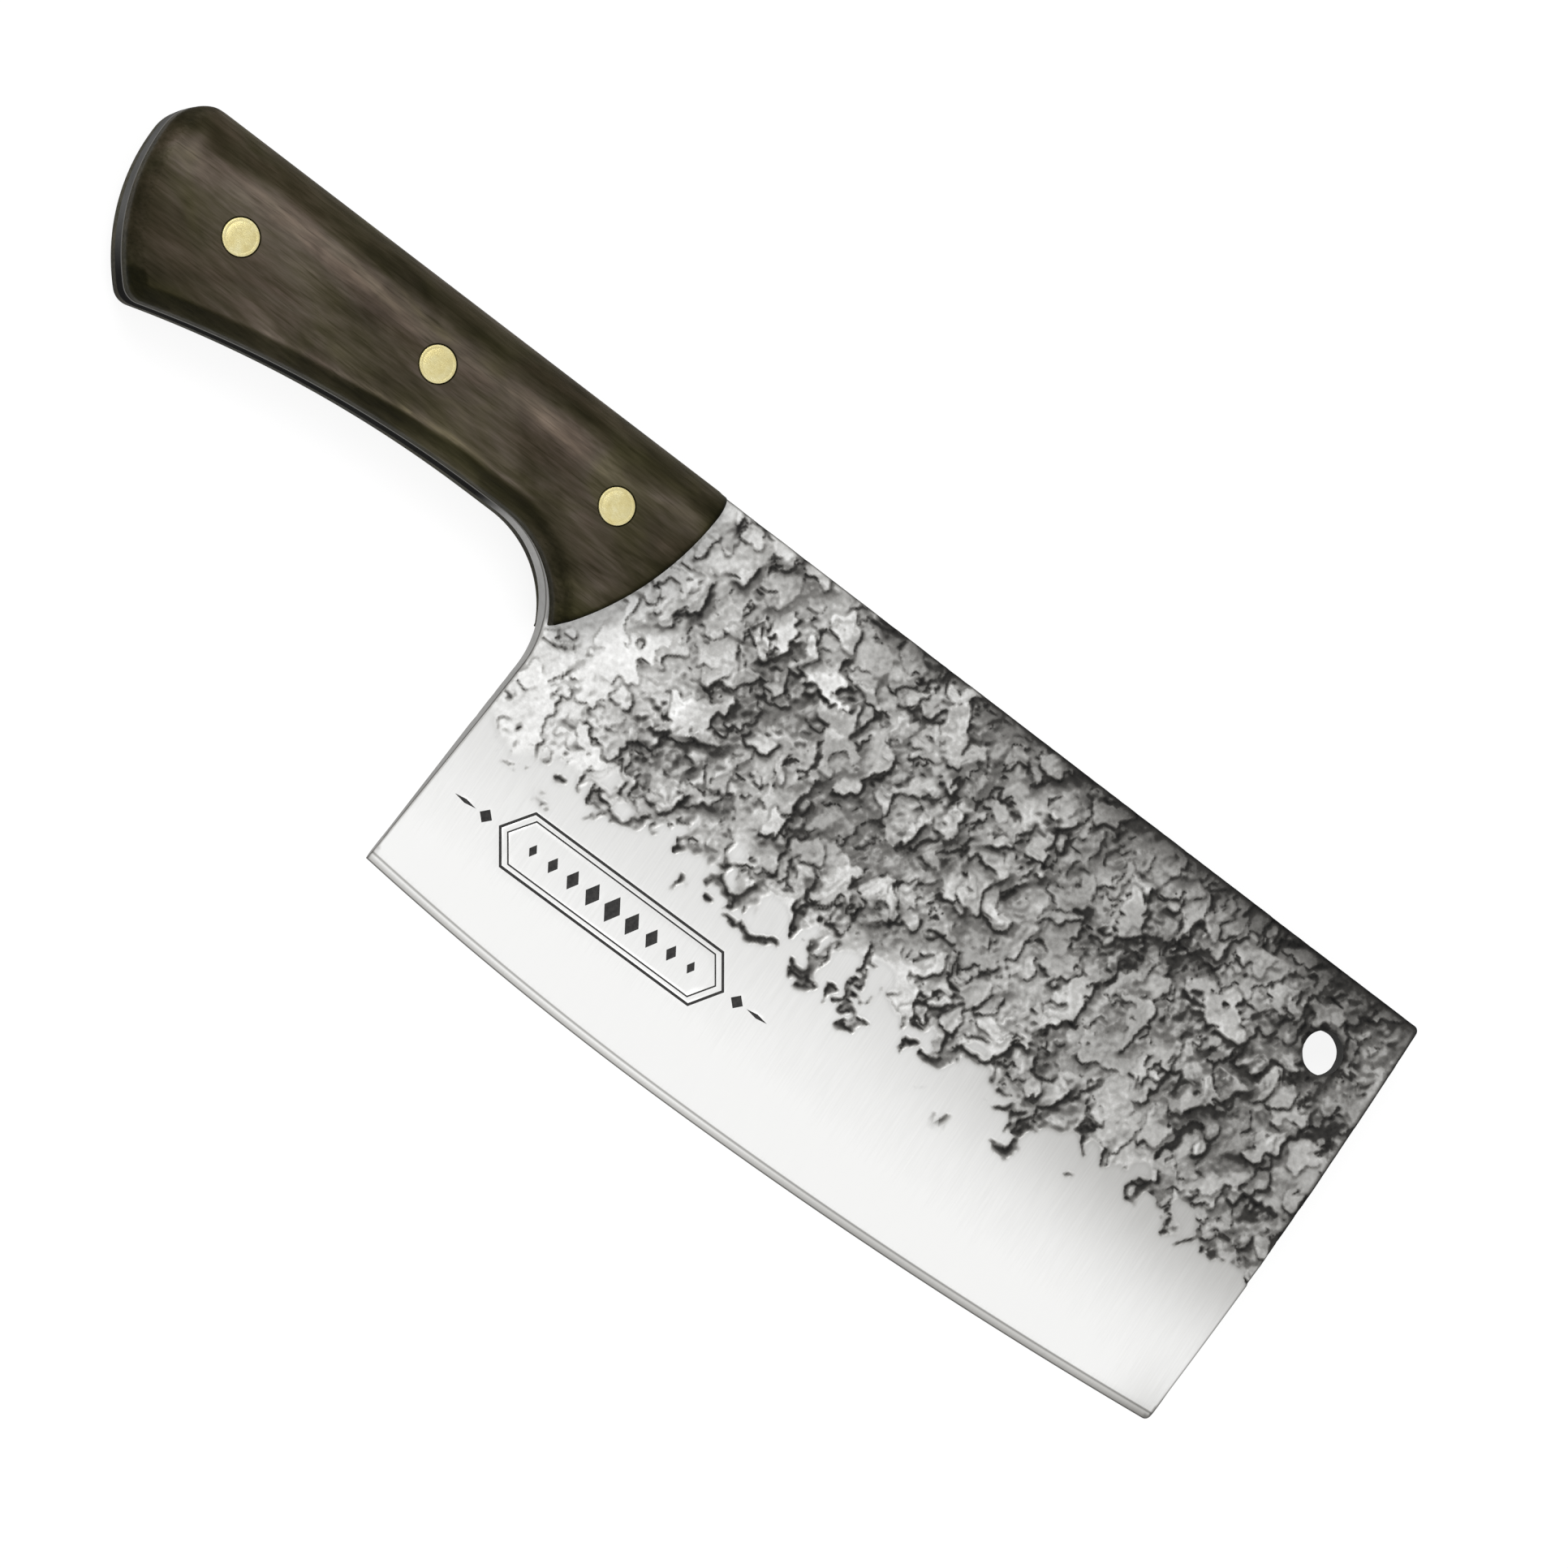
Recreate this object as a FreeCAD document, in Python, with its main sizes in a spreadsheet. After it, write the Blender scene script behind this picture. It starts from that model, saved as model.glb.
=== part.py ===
"""A full-tang meat cleaver: one forging, two wood scales and three two-piece cutler's rivets.

The cleaver lies flat. +X runs from the butt to the tip, +Y from the cutting edge to the spine and
+Z through the thickness. The origin is the centre of the bounding box in X and Y and the lowest
face in Z, which is the outer face of the left scale. Lengths are in millimetres.
"""

import FreeCAD, Part
import os
import Sketcher

SHEET = "Dimensions"

# Every driving size: cell alias, value in millimetres or degrees, and what it measures.
# Places are distances from the origin; the code gives each its side.
SIZES = [
    ("spine_y", 51.0, "height of the straight spine"),
    ("tip_x", 156.13, "reach of the tip at the spine"),
    ("tip_foot_x", 152.13, "reach of the tip at the cutting edge"),
    ("tip_radius", 1450.0, "slight bulge of the tip end"),
    ("tip_corner_radius", 1.2, "rounding of the two tip corners"),
    ("edge_low_x", 32.63, "lowest point of the cutting edge"),
    ("edge_low_y", 51.0, "depth of that lowest point"),
    ("edge_heel_radius", 733.0, "cutting edge from the lowest point to the heel"),
    ("edge_toe_radius", 1234.0, "cutting edge from the lowest point to the tip"),
    ("heel_x", 43.87, "heel corner"),
    ("choil_x", 60.07, "centre of the finger notch behind the heel"),
    ("choil_radius", 20.2, "finger notch in the steel"),
    ("belly_y", 22.5, "flat stretch of the handle's underside"),
    ("belly_x", 66.87, "where the underside starts to drop towards the butt"),
    ("belly_radius", 260.0, "hollow curve of the underside"),
    ("butt_foot_radius", 4.0, "lower corner of the butt"),
    ("butt_centre_x", 116.13, "centre of the butt's end curve"),
    ("butt_centre_y", 40.4, "centre of the butt's end curve"),
    ("butt_radius", 40.0, "butt's end curve"),
    ("butt_corner_radius", 9.0, "upper corner of the butt"),
    ("plate_half", 2.25, "half the thickness of the forging"),
    ("grind_height", 40.0, "ground band above the cutting edge"),
    ("bevel_height", 1.6, "final bevel above the cutting edge"),
    ("bevel_half", 0.6, "half the thickness at the top of the final bevel"),
    ("edge_half", 0.05, "half the thickness of the cutting edge itself"),
    ("cut_clear", 1.0, "how far a cutting section stands clear of the solid"),
    ("grind_turn", 8.0, "angle that each grinding cut turns through"),
    ("hang_hole_x", 141.43, "hanging hole"),
    ("hang_hole_y", 35.2, "hanging hole"),
    ("hang_hole_diameter", 9.0, "hanging hole"),
    ("hang_hole_chamfer", 0.3, "broken rims of the hanging hole"),
    ("scale_thickness", 6.5, "each wood scale"),
    ("scale_front_x", 25.1, "front end of a scale at the spine"),
    ("scale_front_radius", 64.9, "rounded front end of a scale"),
    ("scale_foot_x", 40.25, "front lower corner of a scale"),
    ("scale_foot_y", 9.33, "front lower corner of a scale"),
    ("comb_radius", 6.3, "rounded back of a scale, along the spine"),
    ("facet_width", 2.6, "facet round the underside and the butt, across the face"),
    ("facet_depth", 3.2, "the same facet, down the wall"),
    ("rivet_rear_x", 133.21, "rivet near the butt"),
    ("rivet_rear_y", 32.46, "rivet near the butt"),
    ("rivet_middle_x", 88.21, "middle rivet"),
    ("rivet_middle_y", 35.96, "middle rivet"),
    ("rivet_front_x", 43.61, "rivet near the blade"),
    ("rivet_front_y", 35.06, "rivet near the blade"),
    ("rivet_head_diameter", 7.5, "flush rivet head"),
    ("rivet_head_depth", 3.0, "flush rivet head"),
    ("sleeve_diameter", 5.2, "outside of the female half"),
    ("sleeve_reach", 9.0, "tube of the female half below its head"),
    ("sleeve_bore_depth", 8.0, "blind bore up the tube"),
    ("stud_diameter", 3.4, "shank of the male half, a drive fit in the bore"),
    ("stud_reach", 9.0, "shank of the male half above its head"),
    ("tang_hole_diameter", 5.4, "rivet holes in the steel"),
]

RIVETS = ("rear", "middle", "front")

# The butt's foot starts at about this share of its neighbours' sizes; its constraints then place it.
ROUGH_SHARE = 0.65

# Two lengths closer than this, in millimetres, count as the same.
CLOSE = 0.0001

ORIGIN = -1
START = 1
END = 2
CENTRE = 3

document = FreeCAD.newDocument("Cleaver")
sheet = document.addObject("Spreadsheet::Sheet", SHEET)
for row, (alias, value, meaning) in enumerate(SIZES, start=1):
    sheet.set(f"A{row}", alias)
    sheet.set(f"B{row}", str(value))
    sheet.set(f"C{row}", meaning)
    sheet.setAlias(f"B{row}", alias)
document.recompute()


def size(alias):
    return float(getattr(sheet, alias))


def total(terms):
    """The value of signed cells such as "-edge_low_y +grind_height", and the same as an expression."""
    value = 0.0
    expression = ""
    for term in terms.split():
        sign = -1 if term.startswith("-") else 1
        alias = term.lstrip("+-")
        value += sign * size(alias)
        expression += f" {'-' if sign < 0 else '+'} {SHEET}.{alias}"
    return value, f"0{expression}"


def point(x_terms, y_terms):
    return FreeCAD.Vector(total(x_terms)[0], total(y_terms)[0], 0)


def new_body(label):
    body = document.addObject("PartDesign::Body", f"{label}_body")
    body.Label = label
    return body


def new_sketch(body, name, role):
    """A sketch flat on one of the body's own origin planes."""
    plane = next(item for item in body.Origin.OriginFeatures if item.Role == role)
    sketch = body.newObject("Sketcher::SketchObject", name)
    sketch.AttachmentSupport = (plane, "")
    sketch.MapMode = "FlatFace"
    return sketch


def lift(sketch, expression, axis="z"):
    """Moves a sketch off its plane, along its normal unless another of its axes is named."""
    sketch.setExpression(f"AttachmentOffset.Base.{axis}", expression)


def bind(sketch, constraint, expression):
    index = sketch.addConstraint(constraint)
    sketch.setExpression(f"Constraints[{index}]", expression)


def hold(sketch, kind, geometry, place, terms):
    """Holds one coordinate of a point at a sum of cells; kind is DistanceX or DistanceY."""
    value, expression = total(terms)
    if value < 0:
        constraint = Sketcher.Constraint(kind, geometry, place, ORIGIN, START, -value)
        bind(sketch, constraint, f"-({expression})")
    else:
        constraint = Sketcher.Constraint(kind, ORIGIN, START, geometry, place, value)
        bind(sketch, constraint, expression)


def pin(sketch, geometry, place, x_terms, y_terms):
    hold(sketch, "DistanceX", geometry, place, x_terms)
    hold(sketch, "DistanceY", geometry, place, y_terms)


def radius(sketch, geometry, alias):
    bind(sketch, Sketcher.Constraint("Radius", geometry, size(alias)), f"{SHEET}.{alias}")


def join(sketch, first, first_place, second, second_place, kind="Coincident"):
    sketch.addConstraint(Sketcher.Constraint(kind, first, first_place, second, second_place))


def line(sketch, start, end):
    return sketch.addGeometry(Part.LineSegment(start, end))


def arc(sketch, centre, arc_radius, start, end):
    """An arc counter-clockwise about centre, from the bearing of start to the bearing of end."""
    circle = Part.Circle(centre, FreeCAD.Vector(0, 0, 1), arc_radius)
    return sketch.addGeometry(Part.ArcOfCircle(circle, circle.parameter(start), circle.parameter(end)))


def polygon(sketch, corners):
    """A closed polygon whose corners are all held at sums of cells."""
    points = [point(*corner) for corner in corners]
    edges = [line(sketch, here, there) for here, there in zip(points, points[1:] + points[:1])]
    for edge, following in zip(edges, edges[1:] + edges[:1]):
        join(sketch, edge, END, following, START)
    for edge, corner in zip(edges, corners):
        pin(sketch, edge, START, *corner)


def disc(sketch, x_terms, y_terms, alias):
    centre = point(x_terms, y_terms)
    circle = sketch.addGeometry(Part.Circle(centre, FreeCAD.Vector(0, 0, 1), size(alias) / 2))
    pin(sketch, circle, CENTRE, x_terms, y_terms)
    bind(sketch, Sketcher.Constraint("Diameter", circle, size(alias)), f"{SHEET}.{alias}")


def new_feature(body, kind, name, profile):
    feature = body.newObject(f"PartDesign::{kind}", name)
    feature.Profile = profile
    profile.Visibility = False
    return feature


def pad(body, name, profile, length):
    feature = new_feature(body, "Pad", name, profile)
    feature.setExpression("Length", length)
    return feature


def pocket(body, name, profile, kind="ThroughAll"):
    """A pocket that cuts along the sketch's normal."""
    feature = new_feature(body, "Pocket", name, profile)
    feature.Type = kind
    feature.Reversed = True
    return feature


def handle_end(sketch, top_line):
    """Adds the underside, the butt and its corners, joined to the start of the spine line.

    Returns the underside's straight line, which starts at the finger notch.
    """
    belly_y = size("belly_y")
    notch_top = FreeCAD.Vector(-size("choil_x"), belly_y, 0)
    belly_start = FreeCAD.Vector(-size("belly_x"), belly_y, 0)
    belly_centre = belly_start - FreeCAD.Vector(0, size("belly_radius"), 0)
    butt_centre = point("-butt_centre_x", "+butt_centre_y")
    corner_centre = FreeCAD.Vector(-size("butt_centre_x") - size("butt_radius") + size("butt_corner_radius"),
                                   size("spine_y") - size("butt_corner_radius"), 0)
    corner_left = corner_centre - FreeCAD.Vector(size("butt_corner_radius"), 0, 0)
    corner_top = corner_centre + FreeCAD.Vector(0, size("butt_corner_radius"), 0)
    foot = FreeCAD.Vector(-size("butt_centre_x") - size("butt_radius") * ROUGH_SHARE,
                          belly_y * ROUGH_SHARE, 0)
    foot_centre = foot + FreeCAD.Vector(0, size("butt_foot_radius"), 0)
    foot_left = foot_centre - FreeCAD.Vector(size("butt_foot_radius"), size("butt_foot_radius"), 0)

    underside = line(sketch, notch_top, belly_start)
    belly = arc(sketch, belly_centre, size("belly_radius"), belly_start, foot)
    butt_foot = arc(sketch, foot_centre, size("butt_foot_radius"), foot_left, foot)
    butt = arc(sketch, butt_centre, size("butt_radius"), corner_left, foot)
    butt_corner = arc(sketch, corner_centre, size("butt_corner_radius"), corner_top, corner_left)

    join(sketch, underside, END, belly, START, "Tangent")
    join(sketch, belly, END, butt_foot, END, "Tangent")
    join(sketch, butt_foot, START, butt, END, "Tangent")
    join(sketch, butt, START, butt_corner, END, "Tangent")
    join(sketch, butt_corner, START, top_line, START, "Tangent")
    sketch.addConstraint(Sketcher.Constraint("Horizontal", underside))
    hold(sketch, "DistanceY", underside, START, "+belly_y")
    hold(sketch, "DistanceX", underside, START, "-choil_x")
    hold(sketch, "DistanceX", underside, END, "-belly_x")
    pin(sketch, butt, CENTRE, "-butt_centre_x", "+butt_centre_y")
    radius(sketch, belly, "belly_radius")
    radius(sketch, butt_foot, "butt_foot_radius")
    radius(sketch, butt, "butt_radius")
    radius(sketch, butt_corner, "butt_corner_radius")
    return underside


def spine_line(sketch, end_terms):
    """The straight spine from the butt's upper corner to a held end; it is the outline's first line."""
    start = FreeCAD.Vector(-size("butt_centre_x") - size("butt_radius") + size("butt_corner_radius"),
                           size("spine_y"), 0)
    spine = line(sketch, start, point(end_terms, "+spine_y"))
    sketch.addConstraint(Sketcher.Constraint("Horizontal", spine))
    pin(sketch, spine, END, end_terms, "+spine_y")
    return spine


def blade_outline(sketch):
    """The forging seen from the side: blade, finger notch and full tang."""
    low_point = point("+edge_low_x", "-edge_low_y")
    tip_top = point("+tip_x", "+spine_y")
    tip_foot = point("+tip_foot_x", "-edge_low_y")
    heel = point("-heel_x", "-edge_low_y")
    notch_centre = FreeCAD.Vector(-size("choil_x"), size("belly_y") - size("choil_radius"), 0)
    notch_side = notch_centre + FreeCAD.Vector(size("choil_radius"), 0, 0)
    notch_top = notch_centre + FreeCAD.Vector(0, size("choil_radius"), 0)
    up = FreeCAD.Vector(0, 1, 0)

    spine = spine_line(sketch, "+tip_x")
    tip = arc(sketch, tip_top - FreeCAD.Vector(size("tip_radius"), size("spine_y"), 0), size("tip_radius"),
              tip_foot, tip_top)
    toe_edge = arc(sketch, low_point + up * size("edge_toe_radius"), size("edge_toe_radius"),
                   low_point, tip_foot)
    heel_edge = arc(sketch, low_point + up * size("edge_heel_radius"), size("edge_heel_radius"),
                    heel, low_point)
    heel_line = line(sketch, heel, notch_side)
    notch = arc(sketch, notch_centre, size("choil_radius"), notch_side, notch_top)
    underside = handle_end(sketch, spine)

    join(sketch, spine, END, tip, END)
    join(sketch, tip, START, toe_edge, END)
    join(sketch, toe_edge, START, heel_edge, END, "Tangent")
    join(sketch, heel_edge, START, heel_line, START)
    join(sketch, heel_line, END, notch, START, "Tangent")
    join(sketch, notch, END, underside, START, "Tangent")
    join(sketch, toe_edge, START, toe_edge, CENTRE, "Vertical")
    pin(sketch, toe_edge, START, "+edge_low_x", "-edge_low_y")
    hold(sketch, "DistanceX", toe_edge, END, "+tip_foot_x")
    hold(sketch, "DistanceX", heel_edge, START, "-heel_x")
    radius(sketch, tip, "tip_radius")
    radius(sketch, toe_edge, "edge_toe_radius")
    radius(sketch, heel_edge, "edge_heel_radius")
    radius(sketch, notch, "choil_radius")


def scale_outline(sketch):
    """A wood scale seen from the side, ending in a rounded front set back from the finger notch."""
    front_top = point("-scale_front_x", "+spine_y")
    front_foot = point("-scale_foot_x", "+scale_foot_y")
    front_centre = front_top - FreeCAD.Vector(size("scale_front_radius"), 0, 0)
    notch_centre = FreeCAD.Vector(-size("choil_x"), size("belly_y") - size("choil_radius"), 0)
    notch_top = notch_centre + FreeCAD.Vector(0, size("choil_radius"), 0)

    spine = spine_line(sketch, "-scale_front_x")
    front = arc(sketch, front_centre, size("scale_front_radius"), front_foot, front_top)
    notch = arc(sketch, notch_centre, size("choil_radius"), front_foot, notch_top)
    underside = handle_end(sketch, spine)

    join(sketch, spine, END, front, END)
    join(sketch, front, START, notch, START)
    join(sketch, notch, END, underside, START, "Tangent")
    pin(sketch, front, START, "-scale_foot_x", "+scale_foot_y")
    radius(sketch, front, "scale_front_radius")


def grind(body, name, terms, turn_to_heel):
    """Grinds both faces down to the cutting edge, turning about the centre of one of the edge's arcs."""
    sketch = new_sketch(body, f"{name}_section", "YZ_Plane")
    lift(sketch, f"{SHEET}.edge_low_x")
    lift(sketch, f"{SHEET}.scale_thickness + {SHEET}.plate_half", "y")
    outside = "-edge_low_y -cut_clear"
    bevel_top = "-edge_low_y +bevel_height"
    grind_top = "-edge_low_y +grind_height"
    for side in ("+", "-"):
        clear = f"{side}plate_half {side}cut_clear"
        polygon(sketch, [(outside, f"{side}edge_half"), ("-edge_low_y", f"{side}edge_half"),
                         (bevel_top, f"{side}bevel_half"), (grind_top, f"{side}plate_half"),
                         (grind_top, clear), (outside, clear)])
    axis = line(sketch, point(terms, "-plate_half"), point(terms, "+plate_half"))
    sketch.setConstruction(axis, True)
    pin(sketch, axis, START, terms, "-plate_half")
    pin(sketch, axis, END, terms, "+plate_half")
    groove = new_feature(body, "Groove", name, sketch)
    groove.ReferenceAxis = (sketch, ["Axis0"])
    groove.setExpression("Angle", f"{SHEET}.grind_turn")
    groove.Reversed = turn_to_heel
    return groove


def edges_at(feature, height, keep):
    """Names of the feature's edges that lie in the plane z = height and pass the test keep."""
    names = []
    for number, edge in enumerate(feature.Shape.Edges, start=1):
        box = edge.BoundBox
        if abs(box.ZMin - height) < CLOSE and abs(box.ZMax - height) < CLOSE and keep(edge):
            names.append(f"Edge{number}")
    return names


def make_blade():
    body = new_body("blade")
    outline = new_sketch(body, "forging_outline", "XY_Plane")
    lift(outline, f"{SHEET}.scale_thickness")
    blade_outline(outline)
    forging = pad(body, "forging", outline, f"2 * {SHEET}.plate_half")
    document.recompute()

    tip_corners = []
    for number, edge in enumerate(forging.Shape.Edges, start=1):
        middle = edge.CenterOfMass
        upright = edge.BoundBox.ZLength > size("plate_half")
        if upright and middle.x > size("hang_hole_x"):
            tip_corners.append(f"Edge{number}")
    corners = body.newObject("PartDesign::Fillet", "tip_corners")
    corners.Base = (forging, tip_corners)
    corners.setExpression("Radius", f"{SHEET}.tip_corner_radius")

    holes = new_sketch(body, "hole_circles", "XY_Plane")
    disc(holes, "+hang_hole_x", "+hang_hole_y", "hang_hole_diameter")
    for name in RIVETS:
        disc(holes, f"-rivet_{name}_x", f"+rivet_{name}_y", "tang_hole_diameter")
    pocket(body, "holes", holes)

    grind(body, "heel_grind", "-edge_low_y +edge_heel_radius", True)
    toe_grind = grind(body, "toe_grind", "-edge_low_y +edge_toe_radius", False)
    document.recompute()

    def is_hanging_hole(edge):
        return edge.BoundBox.XMin > size("hang_hole_x") - size("hang_hole_diameter") and edge.isClosed()

    lower = size("scale_thickness")
    upper = lower + 2 * size("plate_half")
    rims = edges_at(toe_grind, lower, is_hanging_hole) + edges_at(toe_grind, upper, is_hanging_hole)
    broken = body.newObject("PartDesign::Chamfer", "hanging_hole_rims")
    broken.Base = (toe_grind, rims)
    broken.setExpression("Size", f"{SHEET}.hang_hole_chamfer")
    return body


def make_scale():
    """The right scale, whose inner face lies on the forging's upper face."""
    inner = f"{SHEET}.scale_thickness + 2 * {SHEET}.plate_half"
    outer_height = 2 * size("scale_thickness") + 2 * size("plate_half")
    body = new_body("scale_right")
    outline = new_sketch(body, "scale_outline", "XY_Plane")
    lift(outline, inner)
    scale_outline(outline)
    block = pad(body, "block", outline, f"{SHEET}.scale_thickness")
    document.recompute()

    def is_belly(edge):
        return edge.BoundBox.YMin < size("belly_y") and edge.Length > size("belly_x")

    # the chamfer follows the outline's smooth corners, and the comb then takes its stretch along the spine
    facet = body.newObject("PartDesign::Chamfer", "facet")
    facet.Base = (block, edges_at(block, outer_height, is_belly))
    facet.ChamferType = "Two distances"
    facet.setExpression("Size", f"{SHEET}.facet_width")
    facet.setExpression("Size2", f"{SHEET}.facet_depth")

    section = new_sketch(body, "comb_section", "YZ_Plane")
    lift(section, f"-{SHEET}.butt_centre_x - {SHEET}.butt_radius")
    lift(section, f"2 * {SHEET}.scale_thickness + 2 * {SHEET}.plate_half", "y")
    comb_section(section)
    pocket(body, "comb", section)

    shanks = new_sketch(body, "shank_circles", "XY_Plane")
    heads = new_sketch(body, "head_circles", "XY_Plane")
    lift(heads, f"2 * {SHEET}.scale_thickness + 2 * {SHEET}.plate_half - {SHEET}.rivet_head_depth")
    for name in RIVETS:
        disc(shanks, f"-rivet_{name}_x", f"+rivet_{name}_y", "sleeve_diameter")
        disc(heads, f"-rivet_{name}_x", f"+rivet_{name}_y", "rivet_head_diameter")
    pocket(body, "shank_holes", shanks)
    pocket(body, "head_seats", heads)
    return body


def comb_section(sketch):
    """Everything beyond a quarter round, which is tangent to the outer face and to the spine."""
    spine = size("spine_y")
    comb = size("comb_radius")
    clear = size("cut_clear")
    inner_point = FreeCAD.Vector(spine - comb, 0, 0)
    spine_point = FreeCAD.Vector(spine, -comb, 0)
    corners = [inner_point, FreeCAD.Vector(spine - comb, clear, 0), FreeCAD.Vector(spine + clear, clear, 0),
               FreeCAD.Vector(spine + clear, -comb, 0), spine_point]
    back = arc(sketch, FreeCAD.Vector(spine - comb, -comb, 0), comb, spine_point, inner_point)
    edges = [line(sketch, here, there) for here, there in zip(corners, corners[1:])]
    join(sketch, back, END, edges[0], START)
    for edge, following in zip(edges, edges[1:] + [back]):
        join(sketch, edge, END, following, START)
    for edge, direction in zip(edges, ("Vertical", "Horizontal", "Vertical", "Horizontal")):
        sketch.addConstraint(Sketcher.Constraint(direction, edge))
    pin(sketch, back, CENTRE, "+spine_y -comb_radius", "-comb_radius")
    join(sketch, back, START, back, CENTRE, "Horizontal")
    join(sketch, back, END, back, CENTRE, "Vertical")
    radius(sketch, back, "comb_radius")
    pin(sketch, edges[1], END, "+spine_y +cut_clear", "+cut_clear")


def make_left_scale(right_scale):
    mirror = document.addObject("Part::Mirroring", "scale_left_mirror")
    mirror.Label = "scale_left"
    mirror.Source = right_scale
    mirror.Normal = FreeCAD.Vector(0, 0, 1)
    mirror.setExpression("Base.z", f"{SHEET}.scale_thickness + {SHEET}.plate_half")
    return mirror


def round_pad(body, name, diameter, base, length):
    sketch = new_sketch(body, f"{name}_circle", "XY_Plane")
    lift(sketch, base)
    circle = sketch.addGeometry(Part.Circle(FreeCAD.Vector(), FreeCAD.Vector(0, 0, 1), size(diameter) / 2))
    join(sketch, circle, CENTRE, ORIGIN, START)
    bind(sketch, Sketcher.Constraint("Diameter", circle, size(diameter)), f"{SHEET}.{diameter}")
    return pad(body, name, sketch, length)


def place_at_rivet(body, name):
    body.setExpression("Placement.Base.x", f"-{SHEET}.rivet_{name}_x")
    body.setExpression("Placement.Base.y", f"{SHEET}.rivet_{name}_y")


def make_stud(name):
    """The male half: a head flush with the left scale and a shank up through the tang."""
    body = new_body(f"rivet_{name}_stud")
    round_pad(body, f"{name}_stud_head", "rivet_head_diameter", "0", f"{SHEET}.rivet_head_depth")
    round_pad(body, f"{name}_stud_shank", "stud_diameter", f"{SHEET}.rivet_head_depth",
              f"{SHEET}.stud_reach")
    place_at_rivet(body, name)
    return body


def make_sleeve(name):
    """The female half: a head flush with the right scale and a bored tube down through the tang."""
    under_head = f"2 * {SHEET}.scale_thickness + 2 * {SHEET}.plate_half - {SHEET}.rivet_head_depth"
    tube_end = f"{under_head} - {SHEET}.sleeve_reach"
    body = new_body(f"rivet_{name}_sleeve")
    round_pad(body, f"{name}_sleeve_head", "rivet_head_diameter", under_head, f"{SHEET}.rivet_head_depth")
    round_pad(body, f"{name}_sleeve_tube", "sleeve_diameter", tube_end, f"{SHEET}.sleeve_reach")
    bore = new_sketch(body, f"{name}_bore_circle", "XY_Plane")
    lift(bore, tube_end)
    wall = Part.Circle(FreeCAD.Vector(), FreeCAD.Vector(0, 0, 1), size("stud_diameter") / 2)
    circle = bore.addGeometry(wall)
    join(bore, circle, CENTRE, ORIGIN, START)
    bind(bore, Sketcher.Constraint("Diameter", circle, size("stud_diameter")), f"{SHEET}.stud_diameter")
    drilled = pocket(body, f"{name}_bore", bore, "Length")
    drilled.setExpression("Length", f"{SHEET}.sleeve_bore_depth")
    place_at_rivet(body, name)
    return body


def check_document():
    for item in document.Objects:
        if "Invalid" in item.State or "Error" in item.State:
            raise RuntimeError(f"{item.Name} failed: {item.State}")


def check_cuts(body):
    """Every cutting feature must leave less than it was given."""
    for item in body.Group:
        if item.TypeId in ("PartDesign::Pocket", "PartDesign::Groove", "PartDesign::Chamfer"):
            before = item.BaseFeature.Shape.Volume
            if not item.Shape.Volume < before:
                raise RuntimeError(f"{item.Name} cuts nothing")


right_scale = make_scale()
parts = [make_blade(), right_scale, make_left_scale(right_scale)]
for rivet in RIVETS:
    parts.append(make_stud(rivet))
    parts.append(make_sleeve(rivet))
document.recompute()
check_document()

os.makedirs("parts", exist_ok=True)
for part in parts:
    if part.TypeId == "PartDesign::Body":
        check_cuts(part)
    if part.Shape.isNull() or not part.Shape.isValid():
        raise RuntimeError(f"{part.Label} has no sound shape")
for part in parts:
    part.Shape.exportStep(f"parts/{part.Label}.step")
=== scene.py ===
"""The looks of a forged meat cleaver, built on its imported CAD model.

Lengths are in millimetres until the meshes are made, which are in metres. The blade lies flat: +X runs
from the butt to the tip, +Y from the cutting edge to the spine, and +Z out of the right-hand face.
"""

import math

import bpy
import numpy as np
from mathutils import Matrix, Vector
from mathutils.geometry import delaunay_2d_cdt


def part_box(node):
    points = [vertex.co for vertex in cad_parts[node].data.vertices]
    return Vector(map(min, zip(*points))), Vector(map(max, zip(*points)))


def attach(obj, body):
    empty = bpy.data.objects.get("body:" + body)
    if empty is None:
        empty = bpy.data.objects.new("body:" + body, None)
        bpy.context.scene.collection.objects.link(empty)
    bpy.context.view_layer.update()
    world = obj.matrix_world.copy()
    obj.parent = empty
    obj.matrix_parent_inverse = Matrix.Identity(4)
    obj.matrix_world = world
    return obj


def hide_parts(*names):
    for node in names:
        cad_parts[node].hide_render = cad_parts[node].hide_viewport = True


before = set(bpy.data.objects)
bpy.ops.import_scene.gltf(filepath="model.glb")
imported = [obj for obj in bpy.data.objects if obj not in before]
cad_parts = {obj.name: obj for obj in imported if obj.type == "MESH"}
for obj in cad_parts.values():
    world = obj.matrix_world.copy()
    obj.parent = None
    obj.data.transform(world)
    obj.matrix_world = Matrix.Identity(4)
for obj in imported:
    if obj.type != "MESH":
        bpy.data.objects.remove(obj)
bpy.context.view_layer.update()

MM = 0.001
RIGHT = 1
LEFT = -1


def box_of(node):
    """Low and high corners of a CAD node in millimetres."""
    low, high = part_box(node)
    return np.array(low) * 1000, np.array(high) * 1000


blade_low, blade_high = box_of("blade")
scale_low, scale_high = box_of("scale_right")

# Measured on the CAD model.
SPINE_Y = float(blade_high[1])
BUTT_X = float(blade_low[0])
MID_Z = float(blade_low[2] + blade_high[2]) / 2
PLATE_HALF = float(blade_high[2] - blade_low[2]) / 2
SCALE_TOP = float(scale_high[2])
SCALE_FOOT = float(scale_low[2])
RIVETS = {}
for rivet in ("rear", "middle", "front"):
    low, high = box_of(f"rivet_{rivet}_sleeve")
    RIVETS[rivet] = tuple(((low + high) / 2)[:2].tolist())
    HEAD_RADIUS = float(high[0] - low[0]) / 2

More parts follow.
